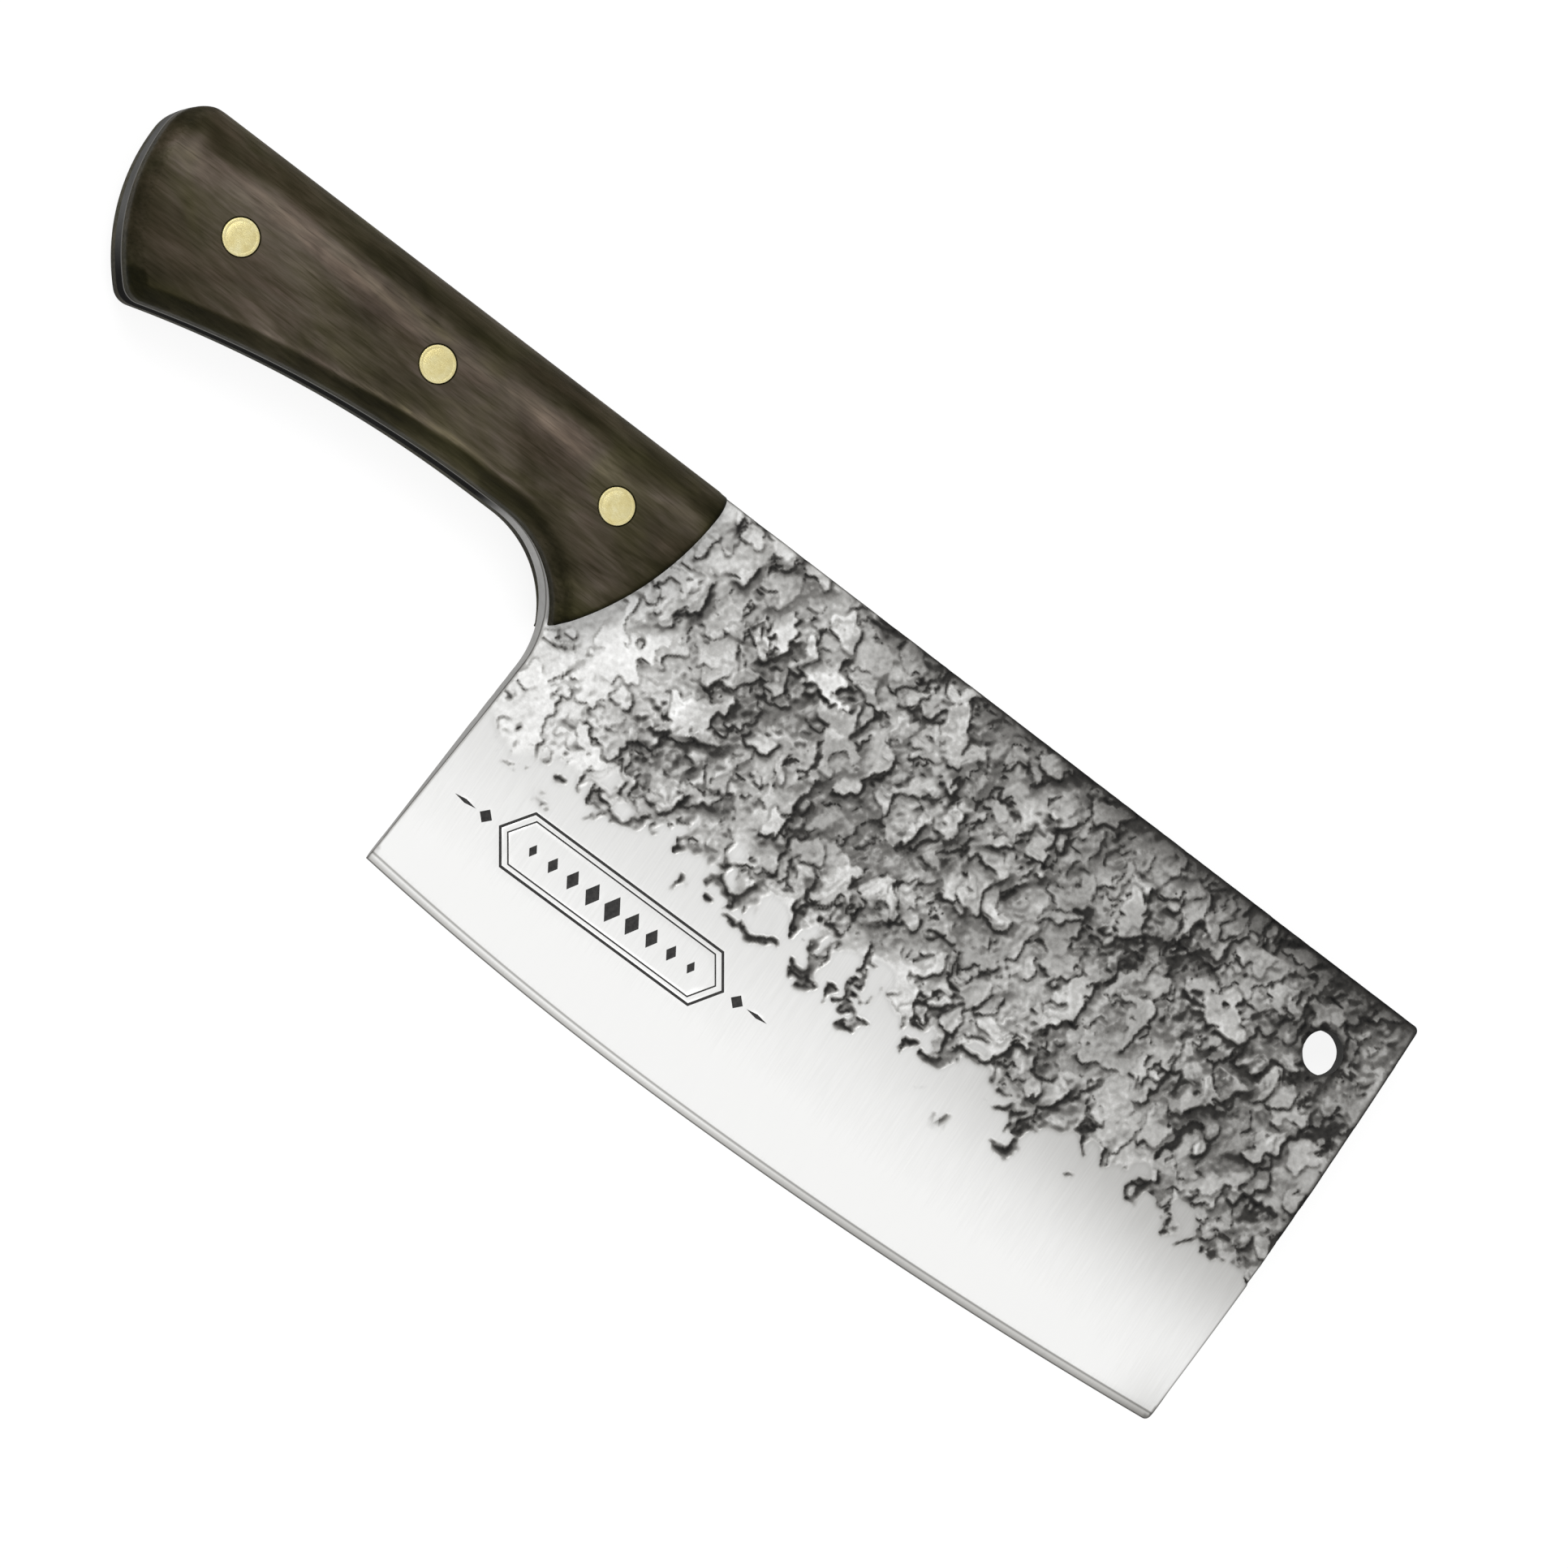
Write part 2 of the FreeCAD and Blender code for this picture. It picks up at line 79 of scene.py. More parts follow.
# As the CAD sketches have them.
EDGE_LOW = (32.63, -51.0)
EDGE_HEEL_RADIUS = 733.0
EDGE_TOE_RADIUS = 1234.0
HEEL_X = -43.87
TIP_TOP = (156.13, SPINE_Y)
TIP_FOOT_X = 152.13
TIP_RADIUS = 1450.0
TIP_CORNER = 1.2
NOTCH_CENTRE = (-60.07, 2.3)
NOTCH_RADIUS = 20.2
BELLY_X = -66.87
BELLY_RADIUS = 260.0
BUTT_FOOT_RADIUS = 4.0
BUTT_CENTRE = (BUTT_X + 40.0, 40.4)
BUTT_RADIUS = 40.0
BUTT_CORNER = 9.0
FRONT_TOP = (-25.1, SPINE_Y)
FRONT_FOOT = (-40.25, 9.33)
FRONT_RADIUS = 64.9
FRONT_CENTRE = (FRONT_TOP[0] - FRONT_RADIUS, SPINE_Y)
HIDDEN_BEHIND = 1.5
HANG_HOLE = (141.43, 35.2)
HANG_RADIUS = 4.5
HANG_CHAMFER = 0.3
HEAD_DEPTH = 3.0
TANG_HOLE_RADIUS = 2.7
BEVEL_HEIGHT = 1.6
GRIND = ([0.0, BEVEL_HEIGHT, 40.0], [0.05, 0.6, PLATE_HALF])


# ---------------------------------------------------------------- outlines

def bearing(centre, point):
    return math.atan2(point[1] - centre[1], point[0] - centre[0])


def arc(centre, radius, first, last, spacing):
    """Points from the bearing first to the bearing last, without the last point."""
    count = max(2, math.ceil(abs(last - first) * radius / spacing))
    angles = first + (last - first) * np.arange(count) / count
    return np.column_stack([centre[0] + radius * np.cos(angles), centre[1] + radius * np.sin(angles)])


def straight(start, end, spacing):
    """Points from start towards end, without the end."""
    start, end = np.array(start, float), np.array(end, float)
    count = max(1, math.ceil(np.linalg.norm(end - start) / spacing))
    return start + (end - start) * (np.arange(count) / count)[:, None]


def circle(centre, radius, count):
    angles = 2 * math.pi * np.arange(count) / count
    return np.column_stack([centre[0] + radius * np.cos(angles), centre[1] + radius * np.sin(angles)])


def centre_between(start, end, radius):
    """Centre of the arc from start to end that lies to the right of that direction."""
    start, end = np.array(start, float), np.array(end, float)
    along = end - start
    right = np.array([along[1], -along[0]]) / np.linalg.norm(along)
    return (start + end) / 2 + right * math.sqrt(radius**2 - (np.linalg.norm(along) / 2) ** 2)


def handle_end(spacing):
    """The underside, the butt and its corner, from the notch's top round to the spine."""
    notch_top = (NOTCH_CENTRE[0], NOTCH_CENTRE[1] + NOTCH_RADIUS)
    belly_start = (BELLY_X, notch_top[1])
    belly_centre = (BELLY_X, notch_top[1] - BELLY_RADIUS)
    # the foot's circle touches the belly from above and the butt from inside
    reach, inner = BELLY_RADIUS + BUTT_FOOT_RADIUS, BUTT_RADIUS - BUTT_FOOT_RADIUS
    gap = np.array(BUTT_CENTRE) - np.array(belly_centre)
    span = np.linalg.norm(gap)
    along = (reach**2 - inner**2 + span**2) / (2 * span)
    unit = gap / span
    side = np.array([-unit[1], unit[0]]) * math.sqrt(reach**2 - along**2)
    foot_centre = np.array(belly_centre) + unit * along + side
    corner_y = SPINE_Y - BUTT_CORNER
    corner_x = BUTT_CENTRE[0] - math.sqrt((BUTT_RADIUS - BUTT_CORNER) ** 2 - (corner_y - BUTT_CENTRE[1]) ** 2)
    corner_centre = (corner_x, corner_y)
    belly_end = bearing(belly_centre, foot_centre)
    foot_start = bearing(foot_centre, belly_centre)
    foot_end = bearing(BUTT_CENTRE, foot_centre)
    butt_end = bearing(BUTT_CENTRE, corner_centre)
    turn = 2 * math.pi
    return np.vstack([
        straight(notch_top, belly_start, spacing),
        arc(belly_centre, BELLY_RADIUS, math.pi / 2, belly_end, spacing),
        arc(foot_centre, BUTT_FOOT_RADIUS, foot_start % turn, foot_end % turn, spacing / 3),
        arc(BUTT_CENTRE, BUTT_RADIUS, foot_end % turn, butt_end % turn, spacing),
        arc(corner_centre, BUTT_CORNER, butt_end % turn, math.pi / 2, spacing / 2),
        straight((corner_x, SPINE_Y), (corner_x + 1, SPINE_Y), 1),
    ])


def round_corner(points, corner, radius):
    """The closed outline with the corner nearest to that place rounded."""
    at = int(np.argmin(np.linalg.norm(points - np.array(corner), axis=1)))
    middle = points[at]
    before, after = points[at - 1] - middle, points[(at + 1) % len(points)] - middle
    before, after = before / np.linalg.norm(before), after / np.linalg.norm(after)
    half = math.acos(np.clip(before @ after, -1, 1)) / 2
    tangent = radius / math.tan(half)
    halfway = (before + after) / np.linalg.norm(before + after)
    centre = middle + halfway * radius / math.sin(half)
    first, last = bearing(centre, middle + before * tangent), bearing(centre, middle + after * tangent)
    last = first + (last - first + math.pi) % (2 * math.pi) - math.pi
    bend = np.vstack([arc(centre, radius, first, last, radius / 4), [middle + after * tangent]])
    order = np.roll(points, -at, axis=0)
    rest = order[np.linalg.norm(order - middle, axis=1) > tangent * 1.3]
    return np.vstack([bend, rest])


def blade_outline():
    low = np.array(EDGE_LOW)
    heel_centre = low + (0, EDGE_HEEL_RADIUS)
    toe_centre = low + (0, EDGE_TOE_RADIUS)
    heel = (HEEL_X, heel_centre[1] - math.sqrt(EDGE_HEEL_RADIUS**2 - (HEEL_X - low[0]) ** 2))
    tip_foot = (TIP_FOOT_X, toe_centre[1] - math.sqrt(EDGE_TOE_RADIUS**2 - (TIP_FOOT_X - low[0]) ** 2))
    tip_centre = centre_between(TIP_TOP, tip_foot, TIP_RADIUS)
    # the heel line touches the notch: its far end is where the notch's radius is square to it
    away = np.array(heel) - np.array(NOTCH_CENTRE)
    touch = bearing(NOTCH_CENTRE, heel) + math.acos(NOTCH_RADIUS / np.linalg.norm(away))
    touch_point = np.array(NOTCH_CENTRE) + NOTCH_RADIUS * np.array([math.cos(touch), math.sin(touch)])
    handle = handle_end(1.2)
    down = -math.pi / 2
    points = np.vstack([
        straight(handle[-1] + (1, 0), TIP_TOP, 1.0),
        arc(tip_centre, TIP_RADIUS, bearing(tip_centre, TIP_TOP), bearing(tip_centre, tip_foot), 0.6),
        arc(toe_centre, EDGE_TOE_RADIUS, bearing(toe_centre, tip_foot), down, 1.0),
        arc(heel_centre, EDGE_HEEL_RADIUS, down, bearing(heel_centre, heel), 1.0),
        straight(heel, touch_point, 0.8),
        arc(NOTCH_CENTRE, NOTCH_RADIUS, touch, math.pi / 2, 0.8),
        handle,
    ])
    for corner in (TIP_TOP, tip_foot):
        points = round_corner(points, corner, TIP_CORNER)
    return points


def scale_outline():
    handle = handle_end(0.8)
    # the scale's notch is tangent to the underside and runs out to the front's foot
    across, drop = FRONT_FOOT[0] - handle[0, 0], handle[0, 1] - FRONT_FOOT[1]
    radius = (across**2 + drop**2) / (2 * drop)
    centre = (handle[0, 0], handle[0, 1] - radius)
    return np.vstack([
        straight(handle[-1] + (1, 0), FRONT_TOP, 1.0),
        arc(FRONT_CENTRE, FRONT_RADIUS, 0, bearing(FRONT_CENTRE, FRONT_FOOT), 0.5),
        arc(centre, radius, bearing(centre, FRONT_FOOT), math.pi / 2, 0.5),
        handle,
    ])


def behind_front(points):
    """How far each place lies behind the wood's rounded front."""
    across, up = (points - FRONT_CENTRE).T
    return FRONT_RADIUS - np.where(across > 0, np.hypot(across, up), 0.0)


# ---------------------------------------------------------------- flat geometry

def is_inside(points, loop):
    """Even-odd test; the points are taken in order of y, so that each edge looks at a few of them."""
    order = np.argsort(points[:, 1], kind="stable")
    x, y = points[order].T
    result = np.zeros(len(points), bool)
    for (ax, ay), (bx, by) in zip(loop, np.roll(loop, -1, axis=0)):
        if ay != by:
            part = slice(*np.searchsorted(y, (min(ay, by), max(ay, by))))
            result[part] ^= x[part] < (bx - ax) * (y[part] - ay) / (by - ay) + ax
    inside = np.empty(len(points), bool)
    inside[order] = result
    return inside


def distance_to(points, line, reach=1000.0):
    """Shortest distance from each point to an open line of points, up to a reach."""
    order = np.argsort(points[:, 0], kind="stable")
    x, y = points[order].T
    nearest = np.full(len(points), reach**2)
    for (ax, ay), (bx, by) in zip(line[:-1], line[1:]):
        part = slice(*np.searchsorted(x, (min(ax, bx) - reach, max(ax, bx) + reach)))
        dx, dy = x[part] - ax, y[part] - ay
        length = max((bx - ax) ** 2 + (by - ay) ** 2, 1e-12)
        share = np.clip((dx * (bx - ax) + dy * (by - ay)) / length, 0, 1)
        square = (dx - share * (bx - ax)) ** 2 + (dy - share * (by - ay)) ** 2
        np.minimum(nearest[part], square, out=nearest[part])
    distance = np.empty(len(points))
    distance[order] = np.sqrt(nearest)
    return distance


def closed(loop):
    return np.vstack([loop, loop[:1]])


def area_sign(loop):
    x, y = loop.T
    return math.copysign(1, np.sum(x * np.roll(y, -1) - np.roll(x, -1) * y))


def inset(loop, distance):
    """The loop's points moved inwards by that distance, without those that end up nearer the loop."""
    along = np.roll(loop, -1, axis=0) - np.roll(loop, 1, axis=0)
    along /= np.linalg.norm(along, axis=1)[:, None]
    inward = np.column_stack([-along[:, 1], along[:, 0]]) * area_sign(loop)
    moved = loop + inward * distance
    return moved[distance_to(moved, closed(loop)) > distance * 0.98]


def shrink(loop, distance):
    """A convex polygon with every side moved inwards by that distance."""
    loop = np.array(loop, float)
    before, after = loop - np.roll(loop, 1, axis=0), np.roll(loop, -1, axis=0) - loop
    before /= np.linalg.norm(before, axis=1)[:, None]
    after /= np.linalg.norm(after, axis=1)[:, None]
    normals = [np.column_stack([-side[:, 1], side[:, 0]]) * area_sign(loop) for side in (before, after)]
    mitre = normals[0] + normals[1]
    return loop + mitre * (distance / np.sum(mitre * normals[0], axis=1))[:, None]


def grid(x_range, y_range, spacing):
    """Points in staggered rows."""
    rows = np.arange(y_range[0], y_range[1], spacing * math.sqrt(3) / 2)
    points = []
    for number, y in enumerate(rows):
        xs = np.arange(x_range[0] + spacing / 2 * (number % 2), x_range[1], spacing)
        points.append(np.column_stack([xs, np.full(len(xs), y)]))
    return np.vstack(points)


def clear_of(points, places, radius):
    """The points that are further than the radius from every place."""
    for place in places:
        points = points[np.hypot(*(points - place).T) > radius]
    return points


def triangulate(loops, lines, points, outline, holes):
    """Triangles over the outline that keep every loop and line as edges; returns points, triangles."""
    everything = list(loops) + list(lines) + [points]
    edges = []
    start = 0
    for number, item in enumerate(everything[:-1]):
        ids = list(range(start, start + len(item)))
        pairs = list(zip(ids[:-1], ids[1:]))
        if number < len(loops):
            pairs.append((ids[-1], ids[0]))
        edges += pairs
        start += len(item)
    flat = [Vector(p) for p in np.vstack(everything).tolist()]
    found = delaunay_2d_cdt(flat, edges, [], 1, 1e-5)
    points = np.array([tuple(p) for p in found[0]])
    triangles = np.array(found[2])
    middle = points[triangles].mean(axis=1)
    keep = is_inside(middle, outline)
    for hole in holes:
        keep &= ~is_inside(middle, hole)
    triangles = triangles[keep]
    a, b, c = (points[triangles[:, i]] for i in range(3))
    turn = (b[:, 0] - a[:, 0]) * (c[:, 1] - a[:, 1]) - (b[:, 1] - a[:, 1]) * (c[:, 0] - a[:, 0])
    triangles[turn < 0] = triangles[turn < 0][:, ::-1]
    used, triangles = np.unique(triangles, return_inverse=True)
    return points[used], triangles.reshape(-1, 3)


def rim_edges(triangles):
    """Directed edges that only one triangle has."""
    edges = np.vstack([triangles[:, [0, 1]], triangles[:, [1, 2]], triangles[:, [2, 0]]])
    keys = np.sort(edges, axis=1)
    code = keys[:, 0].astype(np.int64) * (triangles.max() + 1) + keys[:, 1]
    _, first, count = np.unique(code, return_index=True, return_counts=True)
    return edges[first[count == 1]]


# ---------------------------------------------------------------- meshes

def add_object(name, data):
    item = bpy.data.objects.new(name, data)
    bpy.context.scene.collection.objects.link(item)
    return item


def make_mesh(name, vertices, triangles, quads, materials, face_slots=None):
    """A smooth-shaded mesh object from arrays in millimetres."""
    mesh = bpy.data.meshes.new(name)
    mesh.vertices.add(len(vertices))
    mesh.vertices.foreach_set("co", (np.asarray(vertices) * MM).astype(np.float32).ravel())
    loops = np.concatenate([np.asarray(triangles, int).ravel(), np.asarray(quads, int).ravel()])
    mesh.loops.add(len(loops))
    mesh.loops.foreach_set("vertex_index", loops.astype(np.int32))
    starts = np.concatenate([np.arange(len(triangles)) * 3, len(triangles) * 3 + np.arange(len(quads)) * 4])
    mesh.polygons.add(len(starts))
    mesh.polygons.foreach_set("loop_start", starts.astype(np.int32))
    for material in materials:
        mesh.materials.append(material)
    if face_slots is not None:
        mesh.polygons.foreach_set("material_index", np.asarray(face_slots, np.int32))
    mesh.update(calc_edges=True)
    mesh.validate()
    mesh.shade_smooth()
    return add_object(name, mesh)


def give_numbers(piece, name, values):
    attribute = piece.data.attributes.new(name, "FLOAT", "POINT")
    attribute.data.foreach_set("value", np.asarray(values, np.float32))


def sharpen(piece, degrees):
    piece.data.set_sharp_from_angle(angle=math.radians(degrees))


def crease(piece, vertices):
    """Marks the edges that join two of these vertices as sharp."""
    mesh = piece.data
    chosen = np.zeros(len(mesh.vertices), bool)
    chosen[vertices] = True
    ends = np.zeros(len(mesh.edges) * 2, np.int32)
    mesh.edges.foreach_get("vertices", ends)
    sharp = np.zeros(len(mesh.edges), bool)
    if "sharp_edge" in mesh.attributes:
        mesh.attributes["sharp_edge"].data.foreach_get("value", sharp)
        attribute = mesh.attributes["sharp_edge"]
    else:
        attribute = mesh.attributes.new("sharp_edge", "BOOLEAN", "EDGE")
    sharp |= chosen[ends.reshape(-1, 2)].all(axis=1)
    attribute.data.foreach_set("value", sharp)


def smoothstep(values, low, high):
    share = np.clip((values - low) / (high - low), 0, 1)
    return share * share * (3 - 2 * share)


# ---------------------------------------------------------------- the forged skin

PITCH = 0.3
SKIN_X = (-46.2, 160.8)
SKIN_Y = (-32.1, 58.2)
COLUMNS = round((SKIN_X[1] - SKIN_X[0]) / PITCH)
ROWS = round((SKIN_Y[1] - SKIN_Y[0]) / PITCH)
GRID_X, GRID_Y = np.meshgrid(SKIN_X[0] + (np.arange(COLUMNS) + 0.5) * PITCH,
                             SKIN_Y[0] + (np.arange(ROWS) + 0.5) * PITCH)
WAVE_X, WAVE_Y = np.meshgrid(np.fft.rfftfreq(COLUMNS, PITCH), np.fft.fftfreq(ROWS, PITCH))
LIT_FROM = np.array([-0.75, 0.66])
# radius, how many and rise of each size of plate
PLATES = ((12, 75, 0.34), (9, 110, 0.30), (6.5, 130, 0.25),
          (4.4, 170, 0.20), (2.9, 260, 0.14), (1.9, 360, 0.09))


def noise(random, wavelength):
    """Smooth noise of about that wavelength, with a spread of 1."""
    distance = np.hypot(WAVE_X, WAVE_Y) * wavelength
    spectrum = np.fft.rfft2(random.standard_normal((ROWS, COLUMNS))) * np.exp(-(((distance - 1) / 0.55) ** 2))
    field = np.fft.irfft2(spectrum, s=(ROWS, COLUMNS))
    return field / field.std()


def blur(field, sigma):
    kept = np.exp(-2 * (math.pi * sigma) ** 2 * (WAVE_X**2 + WAVE_Y**2))
    return np.fft.irfft2(np.fft.rfft2(field) * kept, s=(ROWS, COLUMNS))


def read_skin(field, x, y):
    """The field's value at each place, between its grid points."""
    column = np.clip((x - SKIN_X[0]) / PITCH - 0.5, 0, COLUMNS - 1.001)
    row = np.clip((y - SKIN_Y[0]) / PITCH - 0.5, 0, ROWS - 1.001)
    c, r = column.astype(int), row.astype(int)
    across, up = column - c, row - r
    lower = field[r, c] * (1 - across) + field[r, c + 1] * across
    upper = field[r + 1, c] * (1 - across) + field[r + 1, c + 1] * across
    return lower * (1 - up) + upper * up


def lay_plate(random, radius, rise, tone, shadow, height, wander, speck):
    """Lays one ragged plate of scale over the fields and paints light and shade round it: a painted shadow on
    the steel beside it, on the side away from the light, and a painted highlight and shade on its own rim.
    """
    x0, y0 = random.uniform(SKIN_X[0] - 4, SKIN_X[1] + 4), random.uniform(-20, SKIN_Y[1])
    radius = radius * random.uniform(0.75, 1.3)
    turn, aspect = random.uniform(0, math.pi), random.uniform(1, 2.1)
    full = float(smoothstep(x0 + 0.2 * (y0 - 10), -32, -12))
    lobes = [(k, random.normal(0, 0.26 / k**0.75), random.uniform(0, 2 * math.pi)) for k in (2, 3, 4, 5, 7)]
    tilt, bright, depth = random.normal(0, 1, 2), random.normal(), random.uniform()
    if full < 0.5:
        if random.uniform() > 0.3 + full:
            return
        turn, aspect, radius = random.normal(math.pi / 2, 0.3), random.uniform(1.5, 3.2), radius * 1.6
        if radius < 4.5:
            return
    reach = radius * 1.9 * math.sqrt(aspect) + 3
    left, right = (int(np.clip((x0 + side * reach - SKIN_X[0]) / PITCH, 0, COLUMNS)) for side in (-1, 1))
    low, high = (int(np.clip((y0 + side * reach - SKIN_Y[0]) / PITCH, 0, ROWS)) for side in (-1, 1))
    if right - left < 3 or high - low < 3:
        return
    part = np.s_[low:high, left:right]
    share = min(1.0, radius / 5.0)
    x = GRID_X[part] + wander[0][part] * share - x0
    y = GRID_Y[part] + wander[1][part] * share - y0
    along = (x * math.cos(turn) + y * math.sin(turn)) / math.sqrt(aspect)
    across = (-x * math.sin(turn) + y * math.cos(turn)) * math.sqrt(aspect)
    angle = np.arctan2(across, along)
    edge = radius * (1 + sum(size * np.cos(k * angle + start) for k, size, start in lobes))
    depth_in = edge - np.hypot(along, across)
    slope_y, slope_x = np.gradient(depth_in, PITCH)
    slope = np.hypot(slope_x, slope_y) + 1e-6
    depth_in = depth_in / np.clip(slope, 0.6, 3)
    faces_light = (slope_x * LIT_FROM[0] + slope_y * LIT_FROM[1]) / slope
    outside, within = np.clip(-depth_in, 0, None), np.clip(depth_in, 0, None)
    cover = smoothstep(depth_in, -0.15, 0.15)
    shaded = smoothstep(faces_light, -0.35, 0.75)
    strength = (0.3 + 0.7 * full) * (0.25 + 0.95 * depth) * (1 + 0.25 * float(smoothstep(x0, 40, 110)))
    # painted shadow cast by the plate on the steel beside it, on the side away from the light
    near = 0.9 * np.exp(-((outside / (0.45 + 0.06 * radius)) ** 1.4))
    wide = 1.1 * np.exp(-((outside / (0.9 + 0.5 * radius)) ** 1.1)) * full * depth**1.5
    # painted shade: a thin dark line along the plate's edge, in the crevice below it, stronger on the side
    # away from the light
    edge_shade_line = (0.62 + 0.4 * depth) * np.exp(-((outside / 0.42) ** 2)) * smoothstep(wander[0][part], -1.5, 0.4)
    dim = shaded * (near + wide) * strength
    cast = np.clip(0.9 * (1 - np.exp(-1.5 * dim)) + (0.45 + 0.55 * shaded) * edge_shade_line, 0, 0.94)
    # a small plate stays partly in the shadow that it is laid in
    shadow[part] = np.maximum(shadow[part], cast * (1 - cover)) * (1 - cover * min(1, 0.4 + 0.1 * radius))
    lit = (x * LIT_FROM[0] + y * LIT_FROM[1]) / radius
    top = 0.885 - 0.055 * full + 0.018 * bright
    # the plate's top is painted lighter on its side towards the light
    top = top + 0.025 * np.clip(lit, -1.5, 1.5) * tilt[0] + 0.012 * speck[part]
    # a painted highlight along the plate's rim, and painted shade just inside its edge on the side away from
    # the light
    rim = np.exp(-(((within - 0.4) / 0.4) ** 2))
    curl_shade = np.exp(-within / (0.25 + 0.06 * radius)) * shaded
    top = top + (0.03 + 0.07 * full) * rim * (0.3 + 0.7 * depth) - 0.05 * curl_shade * strength
    tone[part] = tone[part] * (1 - cover) + top * cover
    lifted = 0.65 * height[part] + rise * (1 + 0.17 * tilt[1] * lit)
    height[part] = height[part] * (1 - cover) + lifted * cover


def forged_skin(seed):
    """Tone with its painted shade and highlights, ground share and depth in millimetres of one face's skin,
    each over the whole grid.
    """
    random = np.random.default_rng(seed)
    wander = [1.5 * noise(random, 11) + 0.75 * noise(random, 5) + 0.28 * noise(random, 2.2) for _ in range(2)]
    speck, slow, patch = noise(random, 1.3), noise(random, 26), noise(random, 14)
    tone = 0.84 + 0.03 * patch
    height = np.zeros_like(tone)
    shadow = np.zeros_like(tone)
    kinds = np.repeat(np.arange(len(PLATES)), [count for _, count, _ in PLATES])
    order = np.argsort(random.uniform(0, 1, len(kinds)) + 0.16 * kinds)
    for kind in kinds[order]:
        radius, _, rise = PLATES[kind]
        lay_plate(random, radius, rise, tone, shadow, height, wander, speck)
    drop = SPINE_Y - GRID_Y
    tip_side = smoothstep(GRID_X + 0.6 * (GRID_Y - 20), 30, 150)
    clouds = smoothstep(slow, -0.4, 1.4) * smoothstep(GRID_X, -10, 40)
    at_spine = np.exp(-np.clip(drop, 0, None) / 3.5) * smoothstep(GRID_X + 25 * patch, 20, 90)
    ragged = drop + 2.0 * patch + 1.2 * slow - 2.3 - 6.5 * smoothstep(-GRID_X, 0, 30)
    ragged -= 1.9 * smoothstep(GRID_X, 15, 35) + 2.5 * smoothstep(GRID_X, 115, 140)
    tone *= (1 - 0.12 * tip_side) * (1 - 0.14 * clouds) * (1 - 0.7 * at_spine)
    tone += (0.93 - tone) * 0.85 * smoothstep(ragged, 42, 60)
    # the plates' painted shadows darken the skin
    tone *= 1 - shadow
    pits = np.clip(1.6 * blur(shadow, 0.4), 0, 1)
    # the scale ends more cleanly at the tip and fades out at the heel
    rise = 1.7 + 2.5 * smoothstep(GRID_X, 95, 130)
    fade = 0.12 + 0.25 * smoothstep(-GRID_X, 0, 20)
    ground = smoothstep(rise * smoothstep(ragged, 46, 72) - 0.12 * rise - 1.05 * pits, -0.08, fade)
    # round the mark the steel is clean
    off_mark = np.maximum(np.abs(GRID_X - MARK_CENTRE[0]) - 32, np.abs(GRID_Y - MARK_CENTRE[1]) - 7.3)
    ground = np.maximum(ground, 1 - smoothstep(off_mark, 0, 1.2))
    # the ground steel's colour, painted darker upwards and towards the tip as a painted reflection of the
    # studio in it
    polish_and_reflection = 0.975 - 0.065 * smoothstep(GRID_Y, -31, -9)
    polish_and_reflection -= 0.15 * smoothstep(GRID_X + 0.8 * GRID_Y, 30, 130) * smoothstep(GRID_Y, -34, -4)
    halo = blur(1 - ground, 0.5) * smoothstep(GRID_Y, -31, -27)
    tone = np.clip(tone * (1 - ground) + polish_and_reflection * ground * (1 - 0.2 * halo * ground), 0.05, 1)
    depth = np.clip(0.55 * (1 - height / height.max()) + 0.25 * shadow, 0, 0.8) * (1 - ground)
    return tone, ground, depth


# ---------------------------------------------------------------- the blade

def above_edge(x, y):
    """How far each place is above the cutting edge, square to it."""
    radius = np.where(x < EDGE_LOW[0], EDGE_HEEL_RADIUS, EDGE_TOE_RADIUS)
    return radius - np.hypot(x - EDGE_LOW[0], y - EDGE_LOW[1] - radius)


def edge_row(height, spacing):
    """A line of points at one height above the cutting edge, from the heel to the tip."""
    low = np.array(EDGE_LOW)
    parts = []
    for radius, xs in ((EDGE_HEEL_RADIUS, np.arange(HEEL_X + 0.5, low[0], spacing)),
                       (EDGE_TOE_RADIUS, np.arange(low[0], TIP_FOOT_X - 0.4, spacing))):
        ys = low[1] + radius - np.sqrt((radius - height) ** 2 - (xs - low[0]) ** 2)
        parts.append(np.column_stack([xs, ys]))
    return np.vstack(parts)


def lozenge(centre, half_width, half_height):
    return np.array([(half_width, 0), (0, half_height), (-half_width, 0), (0, -half_height)]) + centre


def frame_loop(centre, half_width, half_height, point):
    """A long six-sided frame with pointed ends."""
    x, y = half_width - point, half_height
    return np.array([(half_width, 0), (x, y), (-x, y), (-half_width, 0), (-x, -y), (x, -y)]) + centre


MARK_CENTRE = np.array([2.0, -27.0])
GROOVE_WALL = 0.09
GROOVE_DEPTH = 0.07


def mark_strokes():
    """The etched mark as (outer loop, inner loop or None): a double frame round a row of lozenges."""
    strokes = []
    for half_width, half_height, point, width in ((28.0, 6.4, 4.6, 0.55), (26.0, 5.1, 3.7, 0.32)):
        outer = frame_loop(MARK_CENTRE, half_width, half_height, point)
        strokes.append((outer, shrink(outer, width)))
    for number in range(-4, 5):
        size = 1.0 - 0.13 * abs(number)
        outer = lozenge(MARK_CENTRE + (number * 4.9, 0), 1.9 * size, 2.9 * size)
        strokes.append((outer, None))
    for side in (-1, 1):
        strokes.append((lozenge(MARK_CENTRE + (side * 31.2, 0), 1.5, 1.5), None))
        strokes.append((lozenge(MARK_CENTRE + (side * 36.2, 0), 2.6, 0.42), None))
    return strokes


